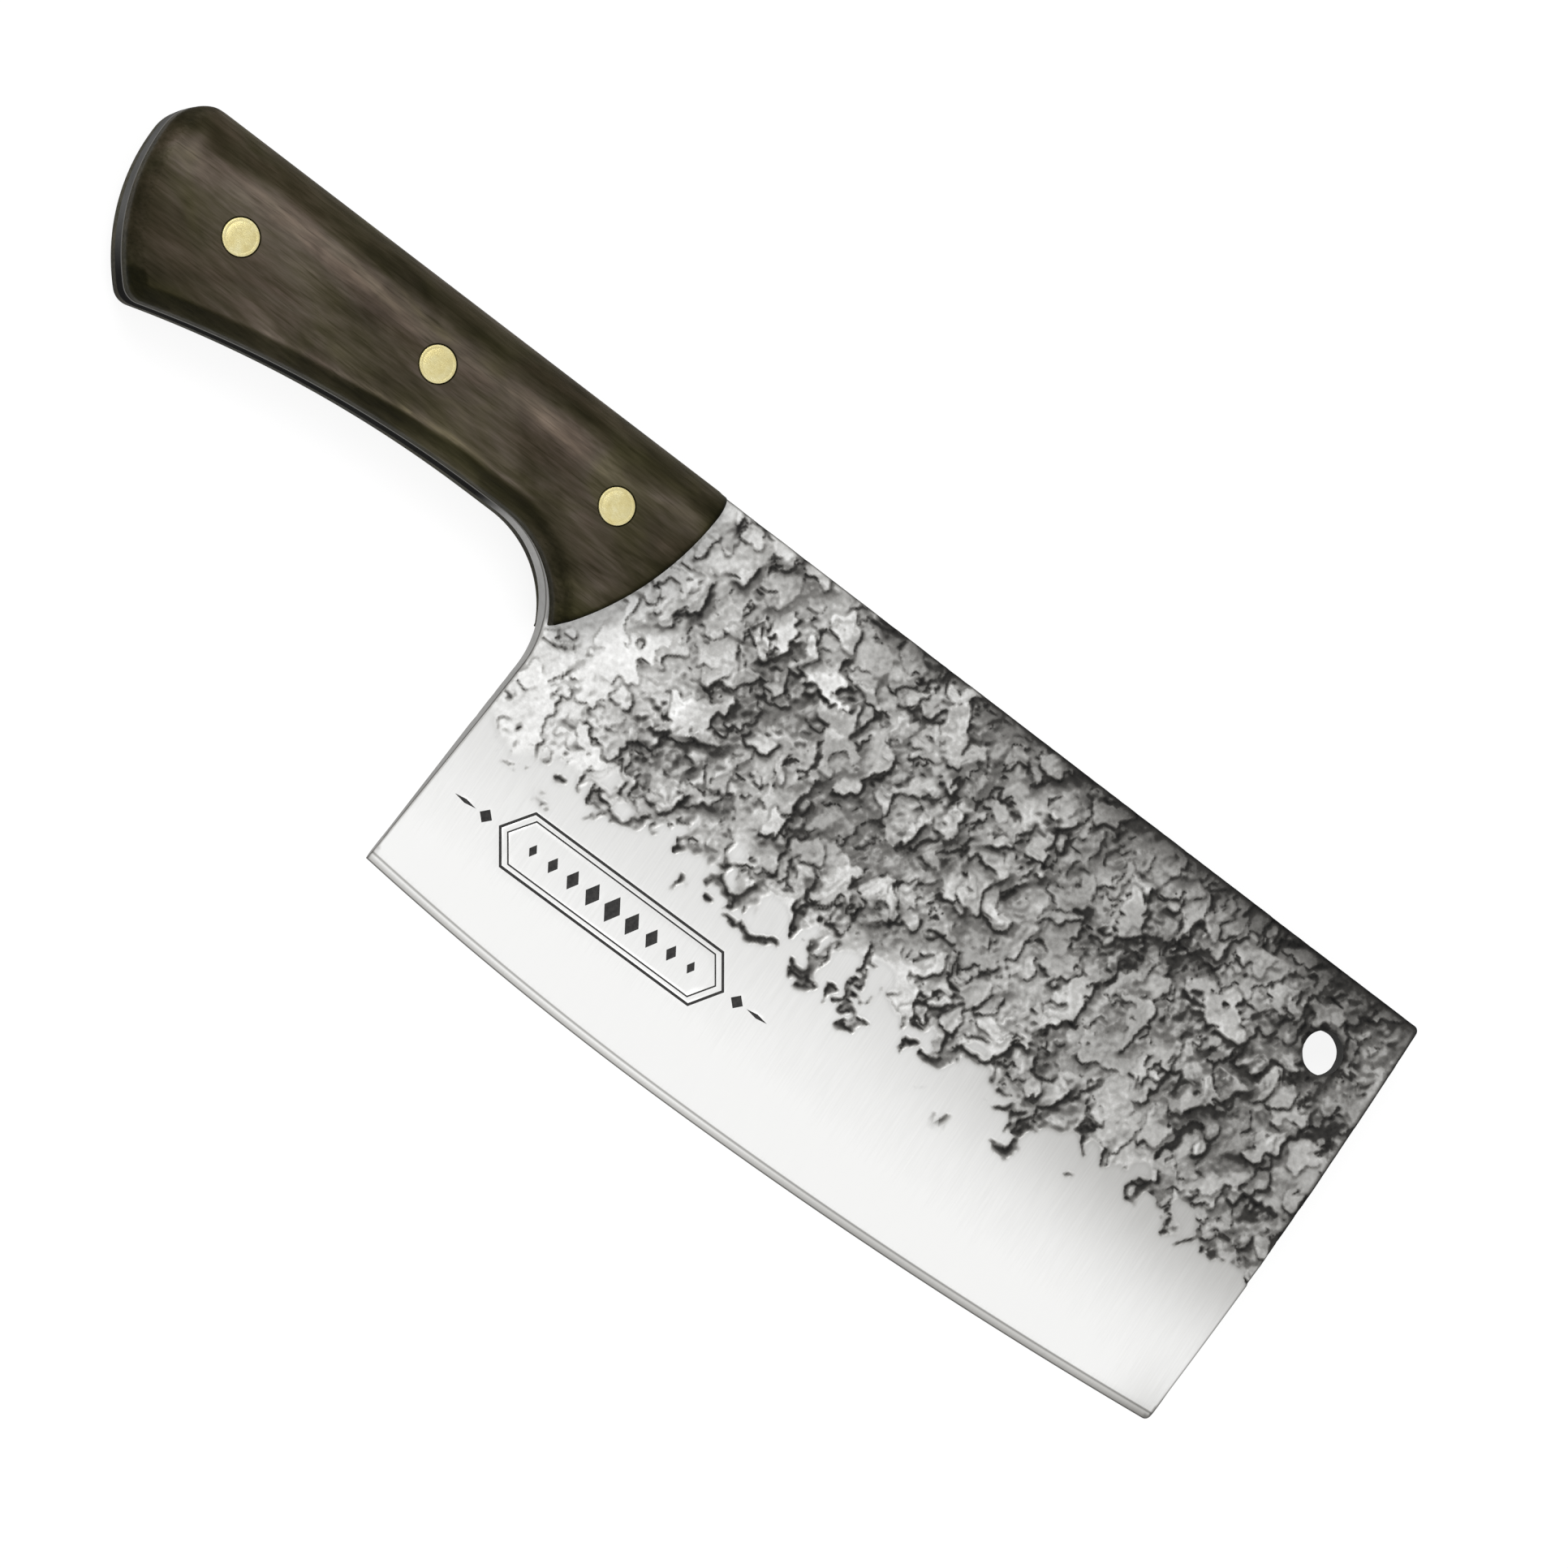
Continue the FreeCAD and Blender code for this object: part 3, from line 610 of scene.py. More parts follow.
def blade_face(outline, strokes):
    """Points and triangles of one face of the blade, and which points are on the mark's floor."""
    rim = closed(outline)
    loops = [outline, circle(HANG_HOLE, HANG_RADIUS, 64), circle(HANG_HOLE, HANG_RADIUS + HANG_CHAMFER, 64)]
    holes = [loops[1]]
    for place in RIVETS.values():
        loops.append(circle(place, TANG_HOLE_RADIUS, 40))
        holes.append(loops[-1])
    floors = []
    for outer, inner in strokes:
        loops.append(outer)
        floors.append(shrink(outer, GROOVE_WALL))
        if inner is not None:
            loops.append(inner)
            floors.append(shrink(inner, -GROOVE_WALL))
    lines = [edge_row(height, 1.0) for height in (0.3, 1.25, BEVEL_HEIGHT, 1.95, 3.0)]

    # the wood hides what lies well behind its front
    fine = grid((-44, 157), (-22, 51), 0.4)
    fine = fine[behind_front(fine) < HIDDEN_BEHIND]
    medium = grid((-45, 157), (-48, -22), 1.5)
    coarse = grid((-157, -24), (10, 51), 3.0)
    coarse = coarse[behind_front(coarse) > HIDDEN_BEHIND]
    points = np.vstack([fine, medium, coarse])
    points = points[is_inside(points, outline) & (distance_to(points, rim, 1.0) > 0.8)]
    points = points[above_edge(points[:, 0], points[:, 1]) > 3.6]
    points = clear_of(points, [HANG_HOLE], HANG_RADIUS + HANG_CHAMFER + 0.2)
    points = clear_of(points, RIVETS.values(), TANG_HOLE_RADIUS + 0.3)
    box = (np.abs(points - MARK_CENTRE) < (40, 7.4)).all(axis=1)
    for outer, inner in strokes:
        near = np.zeros(len(points), bool)
        for loop in (outer, inner):
            if loop is not None:
                near[box] |= distance_to(points[box], closed(loop), 1.0) < 0.35
        points = points[~near]
        box = box[~near]
    insets = [inset(outline, distance) for distance in (0.1, 0.28, 0.55)]
    insets = [row[above_edge(row[:, 0], row[:, 1]) > 3.3] for row in insets]
    points, triangles = triangulate(loops + floors, lines, np.vstack([points] + insets), outline, holes)
    on_floor = np.zeros(len(points), bool)
    for floor in floors:
        on_floor |= distance_to(points, closed(floor), 0.1) < 1e-3
    return points, triangles, on_floor


def blade_painted_shade(x, y, above, away, off_hole):
    """Painted shade on the ground faces: darker at the outline, round the hanging hole, at the cutting edge
    and at the bevel's shoulder, and a little lighter low on the blade.
    """
    rim_shade = smoothstep(np.where(y > 0, x, 0.0), 10, 80)
    painted_shade = 1 - (0.6 + 0.2 * rim_shade) * np.exp(-((away / (0.28 + 0.4 * rim_shade)) ** 2))
    painted_shade *= 1 - 0.5 * np.exp(-((off_hole / 0.9) ** 2))
    painted_shade *= np.interp(above, [0, 0.3, 1.25, BEVEL_HEIGHT, 1.95, 3.0], [0.6, 0.82, 0.88, 0.62, 0.97, 1.0])
    # painted shade: the second bevel and the tip's foot turn greyer towards the tip
    painted_shade *= 1 - 0.16 * smoothstep(x, 20, 90) * smoothstep(-above, -1.9, -1.5)
    painted_shade *= 1 - 0.12 * np.exp(-((np.hypot(x - TIP_FOOT_X, y - EDGE_LOW[1] - 5) / 9) ** 2))
    return painted_shade * (1 + 0.04 * smoothstep(-y, 28, 42))


def make_blade(skin_material, wall_material, etch_material):
    outline = blade_outline()
    strokes = mark_strokes()
    points, triangles, on_floor = blade_face(outline, strokes)
    x, y = points.T
    above = above_edge(x, y)
    away = distance_to(points, closed(outline), 2.0)
    half = np.interp(above, *GRIND)
    rounding = 0.28 * smoothstep(above, 3.0, 8.0)
    near_rim = np.clip(rounding - away, 0, None)
    half = half - (rounding - np.sqrt(np.clip(rounding**2 - near_rim**2, 0, None)))
    off_hole = np.hypot(x - HANG_HOLE[0], y - HANG_HOLE[1]) - HANG_RADIUS
    half = half - np.clip(HANG_CHAMFER - off_hole, 0, HANG_CHAMFER)
    painted_shade = blade_painted_shade(x, y, above, away, off_hole)
    shown = behind_front(points) < HIDDEN_BEHIND
    faces, tones, grounds = [], [], []
    for side, seed in ((RIGHT, 11), (LEFT, 29)):
        tone, ground, depth = forged_skin(seed)
        sunk = read_skin(depth, x, y) * shown * (above > 18)
        height = half - sunk
        if side == RIGHT:
            height = height - GROOVE_DEPTH * on_floor
        faces.append(np.column_stack([x, y, MID_Z + side * height]))
        tones.append(np.where(shown, read_skin(tone, x, y), 0.9) * painted_shade)
        grounds.append(np.where(shown, read_skin(ground, x, y), 1.0))
    count = len(points)
    edges = rim_edges(triangles)
    walls = np.column_stack([edges[:, 0], edges[:, 0] + count, edges[:, 1] + count, edges[:, 1]])
    middle = points[triangles].mean(axis=1)
    etched = np.zeros(len(triangles), bool)
    for outer, inner in strokes:
        within = is_inside(middle, outer)
        if inner is not None:
            within &= ~is_inside(middle, inner)
        etched |= within
    slots = np.concatenate([np.where(etched, 2, 0), np.zeros(len(triangles)), np.ones(len(walls))])
    both = np.vstack([triangles, triangles[:, ::-1] + count])
    blade = make_mesh("forged_blade", np.vstack(faces), both, walls,
                      [skin_material, wall_material, etch_material], slots)
    give_numbers(blade, "tone", np.concatenate(tones))
    give_numbers(blade, "ground", np.concatenate(grounds))
    # painted shade on the tang's edge: dark along the grip between the scales and in the hanging hole, a
    # little lighter round the butt, and bright clean steel in the notch; the same numbers also set how
    # metallic it is
    bareness_and_shade = 0.03 + 0.6 * smoothstep(x, -66, -56) + 0.16 * smoothstep(-x, 146, 154)
    bareness_and_shade = np.where((y > SPINE_Y - 3) & (x < FRONT_TOP[0]), 0.16, bareness_and_shade)
    bareness_and_shade = np.where(off_hole < 0.1, 0.12, bareness_and_shade)
    give_numbers(blade, "bareness_and_shade", np.concatenate([bareness_and_shade, bareness_and_shade]))
    sharpen(blade, 50)
    shoulder = np.flatnonzero(np.abs(above - BEVEL_HEIGHT) < 1e-3)
    crease(blade, np.concatenate([shoulder, shoulder + count]))
    return blade


# ---------------------------------------------------------------- the scales

COMB_RADIUS = 6.3
FACET_ACROSS = 2.6
FACET_DOWN = 3.2
INSET_FROM_TANG = 0.12
SEAT_RADIUS = HEAD_RADIUS + 0.16
SHANK_RADIUS = 2.68


def soft_minimum(a, b, blend):
    share = np.clip(0.5 + 0.5 * (b - a) / blend, 0, 1)
    return b * (1 - share) + a * share - blend * share * (1 - share)


def scale_height(points, outline, rim_line):
    """Height of the scale's outer surface."""
    y = points[:, 1]
    off_axis = np.clip(y - (SPINE_Y - COMB_RADIUS), 0, COMB_RADIUS)
    comb = SCALE_TOP - COMB_RADIUS + np.sqrt(COMB_RADIUS**2 - off_axis**2)
    facet = SCALE_TOP - FACET_DOWN + distance_to(points, rim_line, 9.0) * FACET_DOWN / FACET_ACROSS
    height = soft_minimum(comb, facet, 0.35)
    rounding = 0.5
    near = np.clip(rounding - distance_to(points, closed(outline), 2.0), 0, None)
    height = height - (rounding - np.sqrt(np.clip(rounding**2 - near**2, 0, None)))
    for place in RIVETS.values():
        edge = np.hypot(*(points - place).T) - SEAT_RADIUS
        height = height - np.clip(0.12 - edge, 0, 0.12) * (edge < 0.2)
    return np.minimum(height, SCALE_TOP)


def scale_shade(points, belly_line, butt_line):
    """How light the oil-finished wood is at each place of the outer surface, with painted shade and painted
    highlights.
    """
    x, y = points.T
    drop = SPINE_Y - y - 0.5 - 1.4 * smoothstep(-x, 128, 144)
    # painted shade in a band under the spine, where the wood rounds over, then a band of painted sheen that
    # comes and goes along the grip
    shade = np.interp(drop, [0, 1, 3, 4.4, 5.6, 6.6, 7.6, 9, 10.5],
                      [0.7, 0.55, 0.44, 0.33, 0.36, 0.5, 0.66, 0.92, 1.0])
    sheen_streak = np.interp(x, [-148, -136, -120, -102, -88, -76, -63, -54, -46],
                       [0.3, 0.5, 0.4, 1.1, 0.5, 0.1, 0.7, 0.55, 0.0])
    shade += sheen_streak * np.exp(-(((drop - 10.2) / 2.8) ** 2))
    # below it, lighter and darker patches that lean a little
    patches = np.interp(x + 0.4 * (y - 35), [-150, -138, -121, -102, -79, -63, -50, -36],
                        [0.6, 0.66, 0.95, 0.6, 0.98, 0.68, 0.85, 0.6])
    shade *= 1 + (patches - 1) * smoothstep(drop, 10, 15)
    # painted shade on the facet, with a painted highlight line along its upper edge where it meets the flat
    from_belly = distance_to(points, belly_line, 20.0)
    ridge_at = np.interp(x, [-120, -102, -78], [3.1, 2.85, 3.6])
    line = np.interp(x, [-150, -141, -120, -102, -78, -66, -56, -50], [0, 0.1, 0.3, 0.9, 1.2, 0.6, 0.2, 0.0])
    ridge_highlight = line * np.exp(-(((from_belly - ridge_at) / 0.5) ** 2))
    facet = np.interp(from_belly - ridge_at, [-3.1, -2.6, -1.7, -0.6, -0.2, 0.2],
                      [0.5, 0.42, 0.29, 0.29, 0.5, 1.0])
    soft_facet = np.interp(from_belly, [0, 0.9, 1.6, 3.0, 5.5], [0.5, 0.5, 0.3, 0.7, 1.0])
    at_notch = smoothstep(x, -66, -52)
    shade = shade * (facet + (soft_facet - facet) * at_notch) + ridge_highlight
    from_butt = distance_to(points, butt_line, 20.0)
    # painted shade on the butt's facet and crease
    shade = shade * np.interp(from_butt, [0, 0.7, 1.6, 2.8, 7.0], [0.5, 0.42, 0.62, 0.8, 1.0])
    # a painted highlight on the butt's upper corner
    highlight_spot = np.hypot((x + 150.2) / 1.5, (y - 41.5) / 3.4)
    shade = shade + 0.4 * np.exp(-(highlight_spot**2))
    # painted shade where the wood's front meets the blade
    return shade * np.interp(behind_front(points), [0.1, 0.5, 1.1, 4.0], [0.12, 0.2, 0.66, 1.0])


def scale_pieces(material):
    outline = inset(scale_outline(), INSET_FROM_TANG)
    off_front = behind_front(outline) > 0.5
    start = int(np.flatnonzero(off_front & ~np.roll(off_front, 1))[0])
    rim_line = np.roll(outline, -start, axis=0)[: int(off_front.sum())]
    on_spine = rim_line[:, 1] > SPINE_Y - 1
    at_butt = rim_line[:, 0] < -146
    belly_line = rim_line[~on_spine & ~at_butt]
    butt_line = rim_line[at_butt & ~on_spine]
    loops = [outline]
    holes = []
    for place in RIVETS.values():
        holes.append(circle(place, SEAT_RADIUS, 64))
        loops += [holes[-1], circle(place, SEAT_RADIUS + 0.12, 64)]
    insets = [inset(outline, distance) for distance in (0.06, 0.16, 0.3, 0.5, 2.3, 2.55, 2.8, 3.1)]
    points = grid((-157, -24), (10, 51), 0.7)
    away = distance_to(points, closed(outline), 5.0)
    points = points[is_inside(points, outline) & (away > 0.75) & (np.abs(away - 2.7) > 0.6)]
    points = clear_of(points, RIVETS.values(), SEAT_RADIUS + 0.35)
    everything = clear_of(np.vstack([points] + insets), RIVETS.values(), SEAT_RADIUS + 0.3)
    points, triangles = triangulate(loops, [], everything, outline, holes)
    top = np.column_stack([points, scale_height(points, outline, rim_line)])
    shade = scale_shade(points, belly_line, butt_line)
    count = len(points)
    foot = np.column_stack([points, np.full(count, SCALE_FOOT)])
    edges = rim_edges(triangles)
    centres = np.zeros((count, 2))
    in_seat = np.zeros(count, bool)
    for place in RIVETS.values():
        here = np.abs(np.hypot(*(points - place).T) - SEAT_RADIUS) < 1e-3
        in_seat |= here
        centres[here] = place
    around_seat = in_seat[edges].all(axis=1)
    wall_shade = 0.22 + 0.12 * smoothstep(-points[:, 0], 146, 152)
    rings, shades = [top, foot], [shade, wall_shade]
    walls = []

    def add_ring(ids, place, height, ring_shade):
        """Adds a ring of vertices below the given ones; returns the number of each, by its parent."""
        first = sum(len(ring) for ring in rings)
        rings.append(np.column_stack([place, height]))
        shades.append(ring_shade[ids])
        numbers = np.full(count, -1)
        numbers[ids] = first + np.arange(len(ids))
        return numbers

    def add_walls(pairs, levels):
        for upper, lower in zip(levels, levels[1:]):
            walls.append(np.column_stack([upper[pairs[:, 0]], lower[pairs[:, 0]],
                                          lower[pairs[:, 1]], upper[pairs[:, 1]]]))

    itself = np.arange(count)
    rim_ids = np.unique(edges[~around_seat])
    brow = add_ring(rim_ids, points[rim_ids], top[rim_ids, 2] - 0.5, wall_shade)
    add_walls(edges[~around_seat], [itself, brow, itself + count])
    seat_ids = np.flatnonzero(in_seat)
    # painted shade in the rivet seats
    shade[seat_ids] = 0.25
    narrow = centres[seat_ids] + (points[seat_ids] - centres[seat_ids]) * SHANK_RADIUS / SEAT_RADIUS
    ledge = np.full(len(seat_ids), SCALE_TOP - HEAD_DEPTH - 0.05)
    foot[seat_ids, :2] = narrow
    deep = np.full(count, 0.2)
    wide_ring = add_ring(seat_ids, points[seat_ids], ledge, deep)
    narrow_ring = add_ring(seat_ids, narrow, ledge, deep)
    add_walls(edges[around_seat], [itself, wide_ring, narrow_ring, itself + count])
    vertices, walls = np.vstack(rings), np.vstack(walls)
    faces = np.vstack([triangles, triangles[:, ::-1] + count])
    right = make_mesh("scale_right_side", vertices, faces, walls, [material])
    mirrored = vertices * (1, 1, -1) + (0, 0, 2 * MID_Z)
    left = make_mesh("scale_left_side", mirrored, faces[:, ::-1], walls[:, ::-1], [material])
    for piece in (right, left):
        give_numbers(piece, "shade", np.concatenate(shades))
        sharpen(piece, 38)
    return right, left


# ---------------------------------------------------------------- the rivets

def lathe(name, profile, place, material, segments=72):
    """A profile of (radius, height) that starts and ends on the axis, turned about it at a place."""
    profile = np.array(profile, float)
    inner = profile[1:-1]
    rings = [np.column_stack([circle((0, 0), radius, segments), np.full(segments, height)])
             for radius, height in inner]
    vertices = np.vstack(rings + [[[0, 0, profile[0, 1]], [0, 0, profile[-1, 1]]]])
    following = (np.arange(segments) + 1) % segments
    ids = np.arange(segments)
    quads = []
    for number in range(len(inner) - 1):
        lower, upper = number * segments, (number + 1) * segments
        quads.append(np.column_stack([lower + ids, lower + following, upper + following, upper + ids]))
    last = (len(inner) - 1) * segments
    foot, head = len(vertices) - 2, len(vertices) - 1
    ends = np.vstack([
        np.column_stack([following, ids, np.full(segments, foot)]),
        np.column_stack([last + ids, last + following, np.full(segments, head)]),
    ])
    piece = make_mesh(name, vertices + (place[0], place[1], 0), ends, np.vstack(quads), [material])
    sharpen(piece, 35)
    return piece


def head_rings(face, towards):
    """The head's face from its rim to its middle: a broken edge, a faint turned ring and a slight crown."""
    down = -towards
    return [(HEAD_RADIUS, face + down * 0.22), (HEAD_RADIUS - 0.10, face + down * 0.07),
            (HEAD_RADIUS - 0.30, face + down * 0.03), (HEAD_RADIUS - 0.62, face + down * 0.025),
            (HEAD_RADIUS - 0.72, face + down * 0.05), (HEAD_RADIUS - 0.82, face + down * 0.02),
            (1.6, face + down * 0.005)]


def make_rivet(name, place, material):
    """Both halves of one rivet, each drawn from its lowest point to its highest."""
    seat = SCALE_TOP - HEAD_DEPTH
    tube_end = seat - 9.0
    bore, tube, pin, pin_end = 1.70, 2.60, 1.69, HEAD_DEPTH + 9.0
    sleeve = [(0, seat - 1.0), (bore, seat - 1.0), (bore, tube_end + 0.1), (bore + 0.1, tube_end),
              (tube - 0.1, tube_end), (tube, tube_end + 0.1), (tube, seat), (HEAD_RADIUS, seat)]
    sleeve += head_rings(SCALE_TOP, 1) + [(0, SCALE_TOP)]
    stud = [(0, 0)] + head_rings(0, -1)[::-1]
    stud += [(HEAD_RADIUS, HEAD_DEPTH), (pin, HEAD_DEPTH), (pin, pin_end - 0.2), (1.5, pin_end), (0, pin_end)]
    return (lathe(f"{name}_rivet_sleeve", sleeve, place, material),
            lathe(f"{name}_rivet_stud", stud, place, material))


# ---------------------------------------------------------------- materials

def new_material(name):
    material = bpy.data.materials.new(name)
    material.use_nodes = True
    tree = material.node_tree
    return material, tree, tree.nodes["Principled BSDF"]


def feed(tree, node, inputs):
    """Gives each named socket its value, or links it to another node's output."""
    for socket, value in inputs.items():
        if isinstance(value, bpy.types.NodeSocket):
            tree.links.new(value, node.inputs[socket])
        else:
            node.inputs[socket].default_value = value


def put(tree, kind, inputs, **settings):
    node = tree.nodes.new(kind)
    for key, value in settings.items():
        setattr(node, key, value)
    feed(tree, node, inputs)
    return node


def math_node(tree, operation, first, second=0.0):
    return put(tree, "ShaderNodeMath", {0: first, 1: second}, operation=operation).outputs[0]


def blend(tree, first, share, second):
    """The given share of the first value and the rest of the second."""
    part = math_node(tree, "MULTIPLY", first, share)
    return math_node(tree, "ADD", part, math_node(tree, "MULTIPLY", second, 1 - share))


def from_mesh(tree, name):
    return put(tree, "ShaderNodeAttribute", {}, attribute_name=name).outputs["Fac"]


def grain(tree, stretch, scale, detail=4.0, roughness=0.55, distortion=0.0):
    """Noise in the object's own metres, stretched by a factor along each axis."""
    place = put(tree, "ShaderNodeTexCoord", {}).outputs["Object"]
    mapped = put(tree, "ShaderNodeMapping", {"Vector": place, "Scale": stretch}).outputs[0]
    return put(tree, "ShaderNodeTexNoise", {"Vector": mapped, "Scale": scale, "Detail": detail,
               "Roughness": roughness, "Distortion": distortion}).outputs["Fac"]


def ramp(tree, factor, stops):
    node = put(tree, "ShaderNodeValToRGB", {"Fac": factor})
    elements = node.color_ramp.elements
    while len(elements) < len(stops):
        elements.new(0.5)
    for element, (position, colour) in zip(elements, stops):
        element.position = position
        element.color = (*colour, 1)
    return node.outputs["Color"]


def mix(tree, kind, factor, first, second):
    node = put(tree, "ShaderNodeMix", {0: factor, 6: first, 7: second}, data_type="RGBA", blend_type=kind)
    return node.outputs[2]


def stretch_between(tree, value, low, high, to_low, to_high):
    return put(tree, "ShaderNodeMapRange", {"Value": value, "From Min": low, "From Max": high,
               "To Min": to_low, "To Max": to_high}).outputs[0]


def bump(tree, shader, height, strength, distance):
    node = put(tree, "ShaderNodeBump", {"Height": height, "Strength": strength, "Distance": distance})
    tree.links.new(node.outputs[0], shader.inputs["Normal"])


def skin_steel():
    """Forge skin and ground steel in one: the mesh says how light each place is, painted shade and highlights
    included, and what is ground.
    """
    material, tree, shader = new_material("forged_steel")
    tone = from_mesh(tree, "tone")
    ground = from_mesh(tree, "ground")
    dust = stretch_between(tree, grain(tree, (1, 1, 1), 900, 3), 0.3, 0.7, -0.05, 0.05)
    lines = stretch_between(tree, grain(tree, (26, 1, 1), 120, 3), 0.3, 0.7, -0.012, 0.012)
    skin = math_node(tree, "SUBTRACT", 1.0, ground)
    dusty = math_node(tree, "MULTIPLY", dust, skin)
    mottle = math_node(tree, "ADD", dusty, math_node(tree, "MULTIPLY", lines, ground))
    shade = math_node(tree, "ADD", tone, mottle)
    colour = ramp(tree, shade, [(0.0, (0.004, 0.004, 0.004)), (0.25, (0.045, 0.043, 0.040)),
                                (0.5, (0.20, 0.195, 0.185)), (0.75, (0.50, 0.495, 0.48)),
                                (1.0, (1.0, 1.0, 0.99))])
    rough = stretch_between(tree, ground, 0, 1, 0.62, 0.36)
    rough = math_node(tree, "ADD", rough, math_node(tree, "MULTIPLY", lines, 1.5))
    feed(tree, shader, {"Base Color": colour, "Specular IOR Level": 0.12, "Roughness": rough,
                        "Metallic": stretch_between(tree, ground, 0, 1, 0.25, 0.6)})
    relief = math_node(tree, "ADD", dusty, math_node(tree, "MULTIPLY", lines, 0.25))
    bump(tree, shader, relief, 0.35, 0.0006)
    return material


def wall_steel():
    """The rough-sanded sides of the forging: spine, tip, heel and tang."""
    material, tree, shader = new_material("sanded_steel")
    lines = grain(tree, (1, 1, 9), 900, 3)
    clouds = grain(tree, (1, 1, 1), 90, 3)
    both = blend(tree, lines, 0.5, clouds)
    colour = ramp(tree, both, [(0.3, (0.34, 0.335, 0.325)), (0.7, (0.62, 0.615, 0.60))])
    # the mesh darkens the colour with painted shade and sets how metallic each place is
    bareness_and_shade = from_mesh(tree, "bareness_and_shade")
    shade_grey = put(tree, "ShaderNodeCombineColor", {0: bareness_and_shade, 1: bareness_and_shade, 2: bareness_and_shade}).outputs[0]
    feed(tree, shader, {"Base Color": mix(tree, "MULTIPLY", 1.0, colour, shade_grey), "Specular IOR Level": 0.0,
                        "Metallic": stretch_between(tree, bareness_and_shade, 0.25, 1.0, 0.0, 0.85),
                        "Roughness": stretch_between(tree, lines, 0.3, 0.7, 0.34, 0.52)})
    bump(tree, shader, lines, 0.3, 0.0004)
    return material


def etched_steel():
    material, tree, shader = new_material("etched_steel")
    spots = grain(tree, (1, 1, 1), 1500, 3)
    colour = ramp(tree, spots, [(0.3, (0.012, 0.012, 0.012)), (0.7, (0.05, 0.048, 0.046))])
    feed(tree, shader, {"Base Color": colour, "Metallic": 0.3,
                        "Roughness": stretch_between(tree, spots, 0.3, 0.7, 0.6, 0.8)})
    return material


def dark_wood():
    """Oil-finished dark hardwood: brown, olive and purple clouds with fine fibres; the mesh gives its painted
    shade and highlights.
    """
    material, tree, shader = new_material("dark_wood")
    shade = from_mesh(tree, "shade")
    fibres = grain(tree, (0.10, 1, 0.6), 1500, 3, 0.55, 0.3)
    pores = grain(tree, (0.06, 1, 0.8), 2600, 2, 0.5)
    streaks = grain(tree, (0.22, 1, 0.8), 170, 4, 0.5, 1.6)
    clouds = grain(tree, (0.75, 1, 1), 62, 3, 0.55, 0.6)
    hues = grain(tree, (0.5, 1, 1), 95, 2, 0.5, 0.8)
    base = ramp(tree, clouds, [(0.32, (0.052, 0.043, 0.031)), (0.5, (0.077, 0.064, 0.047)),
                               (0.68, (0.106, 0.090, 0.068))])
    tint = ramp(tree, hues, [(0.34, (0.98, 1.0, 0.84)), (0.5, (1.0, 0.98, 1.0)),
                             (0.66, (1.03, 0.95, 0.99))])
    colour = mix(tree, "MULTIPLY", 1.0, base, tint)
    for pattern, levels in ((streaks, (0.36, 0.64, 0.72, 1.22)), (fibres, (0.34, 0.66, 0.80, 1.18)),
                            (pores, (0.30, 0.42, 0.72, 1.0))):
        shade = math_node(tree, "MULTIPLY", shade, stretch_between(tree, pattern, *levels))
    # the wood turns olive where the painted shade and the grain darken it
    dark = math_node(tree, "MINIMUM", shade, 1.0)
    green = math_node(tree, "MULTIPLY", shade, math_node(tree, "POWER", dark, -0.04))
    blue = math_node(tree, "MULTIPLY", shade, math_node(tree, "POWER", dark, 0.32))
    darker = put(tree, "ShaderNodeCombineColor", {0: shade, 1: green, 2: blue}).outputs[0]
    feed(tree, shader, {"Base Color": mix(tree, "MULTIPLY", 1.0, colour, darker), "Specular IOR Level": 0.04,
                        "Roughness": stretch_between(tree, fibres, 0.3, 0.7, 0.60, 0.48)})
    relief = math_node(tree, "ADD", fibres, stretch_between(tree, pores, 0.3, 0.45, 0, 0.5))
    bump(tree, shader, relief, 0.2, 0.0004)
    return material


def brass():
    material, tree, shader = new_material("brass")
    clouds = grain(tree, (1, 1, 1), 420, 4)
    lines = grain(tree, (1, 8, 1), 1500, 3)
    both = blend(tree, lines, 0.45, clouds)
    colour = ramp(tree, both, [(0.32, (0.70, 0.59, 0.26)), (0.5, (0.78, 0.69, 0.35)),
                               (0.68, (0.86, 0.80, 0.50))])
    feed(tree, shader, {"Base Color": colour, "Metallic": 0.9,
                        "Roughness": stretch_between(tree, lines, 0.3, 0.7, 0.28, 0.45)})
    bump(tree, shader, lines, 0.2, 0.0002)
    return material


def floor_white():
    """A pale studio table that glows a little, so that shadows on it stay faint."""
    material, tree, shader = new_material("pale_floor")
    mottle = grain(tree, (1, 1, 1), 3, 2)
    colour = ramp(tree, mottle, [(0.3, (0.17, 0.17, 0.17)), (0.7, (0.19, 0.19, 0.19))])
    feed(tree, shader, {"Base Color": colour, "Roughness": 0.9,
                        "Emission Color": (1, 1, 1, 1), "Emission Strength": 0.85})
    return material


# ---------------------------------------------------------------- the object

steel = skin_steel()
blade = make_blade(steel, wall_steel(), etched_steel())
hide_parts("blade")
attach(blade, "root")

wood = dark_wood()
for piece, node in zip(scale_pieces(wood), ("scale_right", "scale_left")):
    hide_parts(node)
    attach(piece, "root")

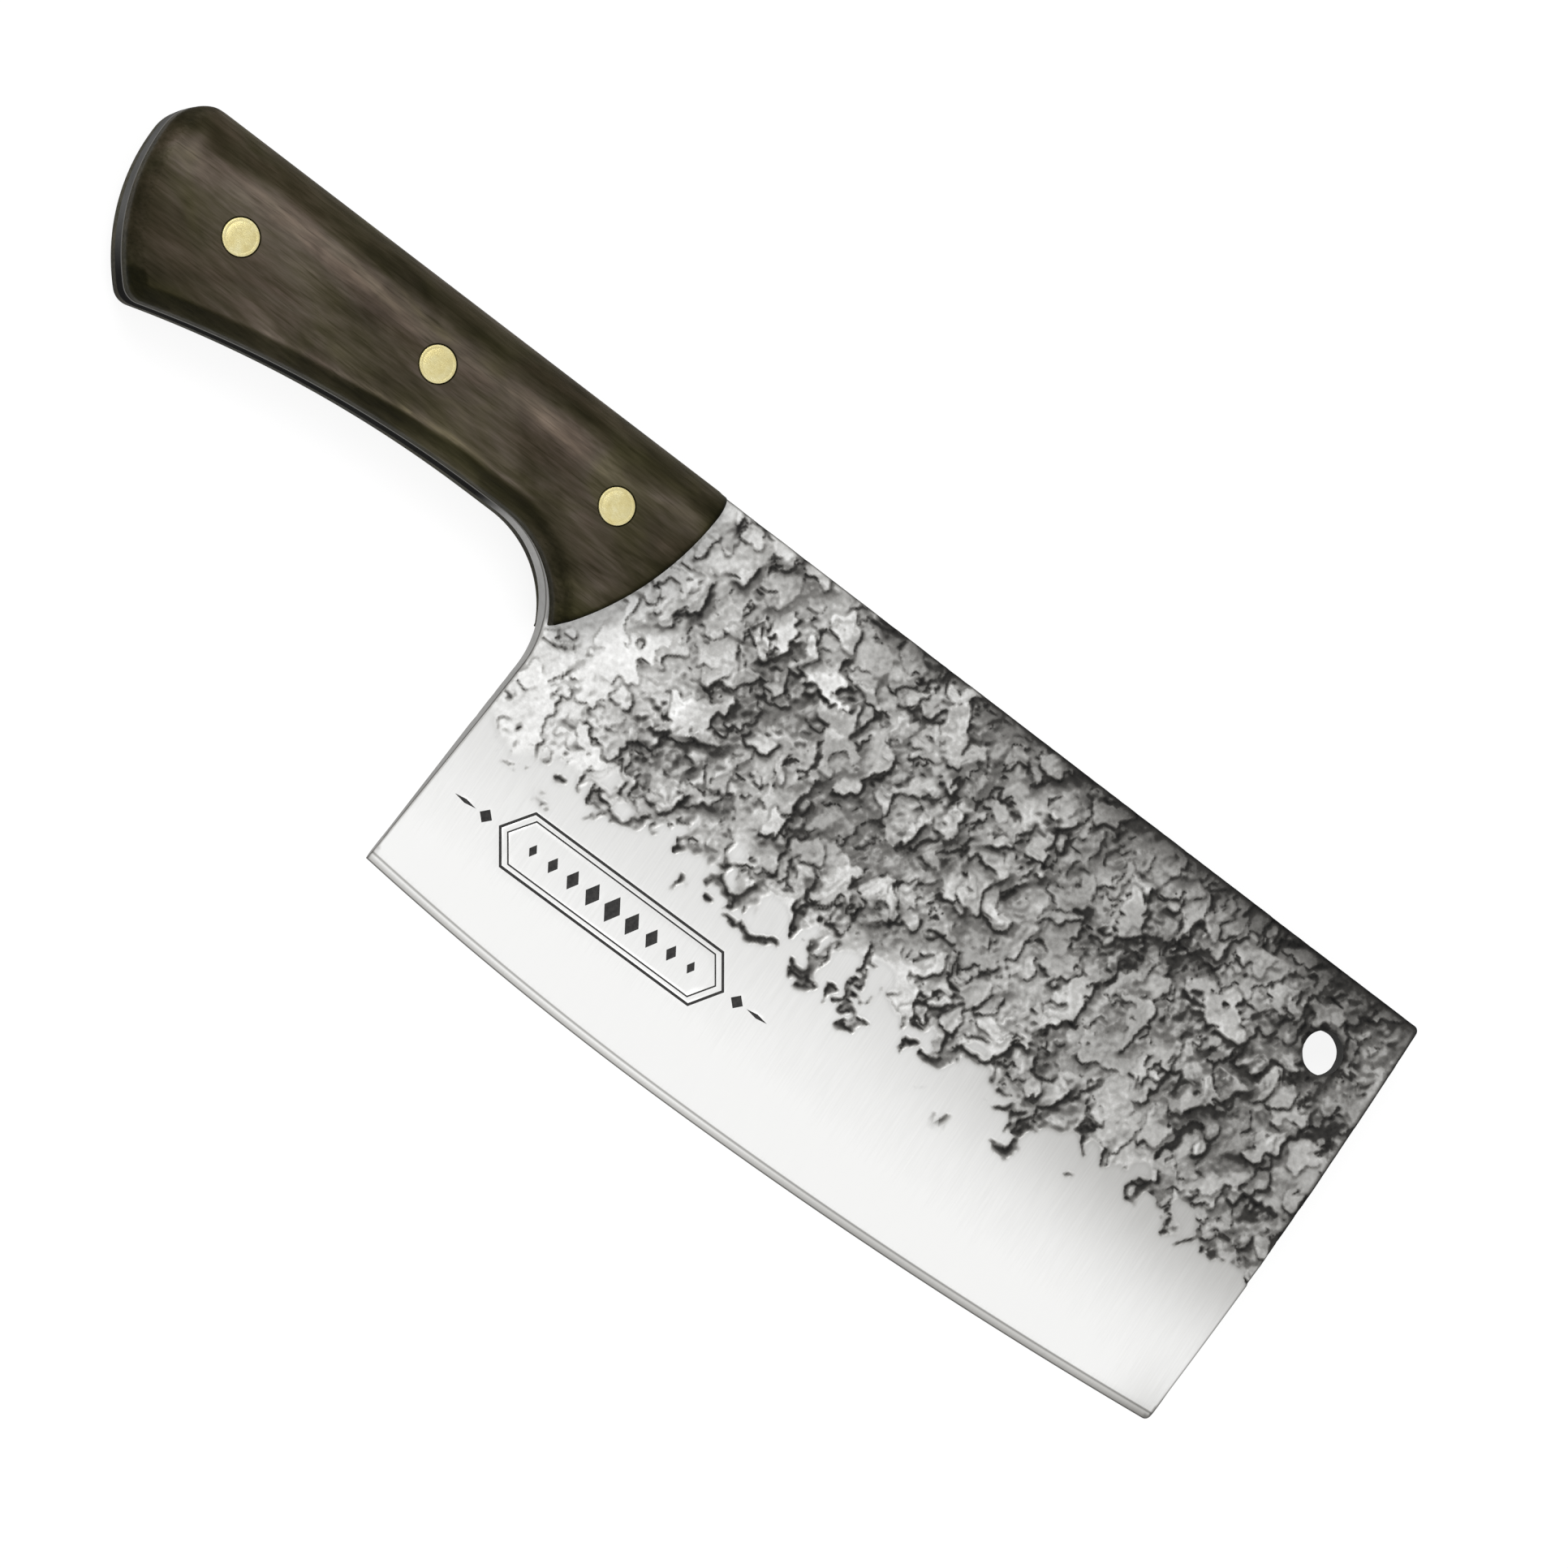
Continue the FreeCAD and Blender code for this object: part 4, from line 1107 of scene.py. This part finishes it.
yellow = brass()
for rivet, place in RIVETS.items():
    for piece, half in zip(make_rivet(rivet, place, yellow), ("sleeve", "stud")):
        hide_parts(f"rivet_{rivet}_{half}")
        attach(piece, "root")


# ---------------------------------------------------------------- floor, light and camera

def make_floor(half_size):
    mesh = bpy.data.meshes.new("floor")
    corners = [(x * half_size, y * half_size, 0) for x, y in ((-1, -1), (1, -1), (1, 1), (-1, 1))]
    mesh.from_pydata(corners, [], [(0, 1, 2, 3)])
    mesh.materials.append(floor_white())
    add_object("floor", mesh)


def add_softbox(name, place, size, watts):
    """A square lamp that faces the object."""
    lamp = bpy.data.lights.new(name, "AREA")
    lamp.shape = "SQUARE"
    lamp.size = size
    lamp.energy = watts
    softbox = add_object(name, lamp)
    softbox.location = place
    softbox.rotation_euler = (-Vector(place)).to_track_quat("-Z", "Y").to_euler()


def add_camera():
    """The camera looks down on the cleaver, which is turned and tipped in the picture."""
    turn, tip, distance = math.radians(35.136), math.radians(21.0), 1.5
    target = Vector((0.01748, 0.0133, 0.00875))
    across = Vector((math.cos(turn), math.sin(turn), 0))
    right = math.cos(tip) * across + math.sin(tip) * Vector((0, 0, 1))
    up = Vector((-math.sin(turn), math.cos(turn), 0))
    back = math.cos(tip) * Vector((0, 0, 1)) - math.sin(tip) * across
    lens = bpy.data.cameras.new("camera")
    lens.sensor_width = 36
    lens.lens = 18 / (0.966 * 0.157 / distance)
    lens.clip_end = 100
    camera = add_object("camera", lens)
    rotation = Matrix((right, up, back)).transposed()
    camera.matrix_world = Matrix.LocRotScale(target + distance * back, rotation, None)
    bpy.context.scene.camera = camera


make_floor(6.0)
add_softbox("key", (-0.75, 0.65, 1.1), 0.9, 9)
add_softbox("fill", (0.7, -0.9, 1.2), 1.2, 4)
world = bpy.data.worlds.new("studio")
world.use_nodes = True
feed(world.node_tree, world.node_tree.nodes["Background"], {"Color": (1, 1, 1, 1), "Strength": 0.72})
bpy.context.scene.world = world
bpy.context.scene.view_settings.view_transform = "Standard"
add_camera()
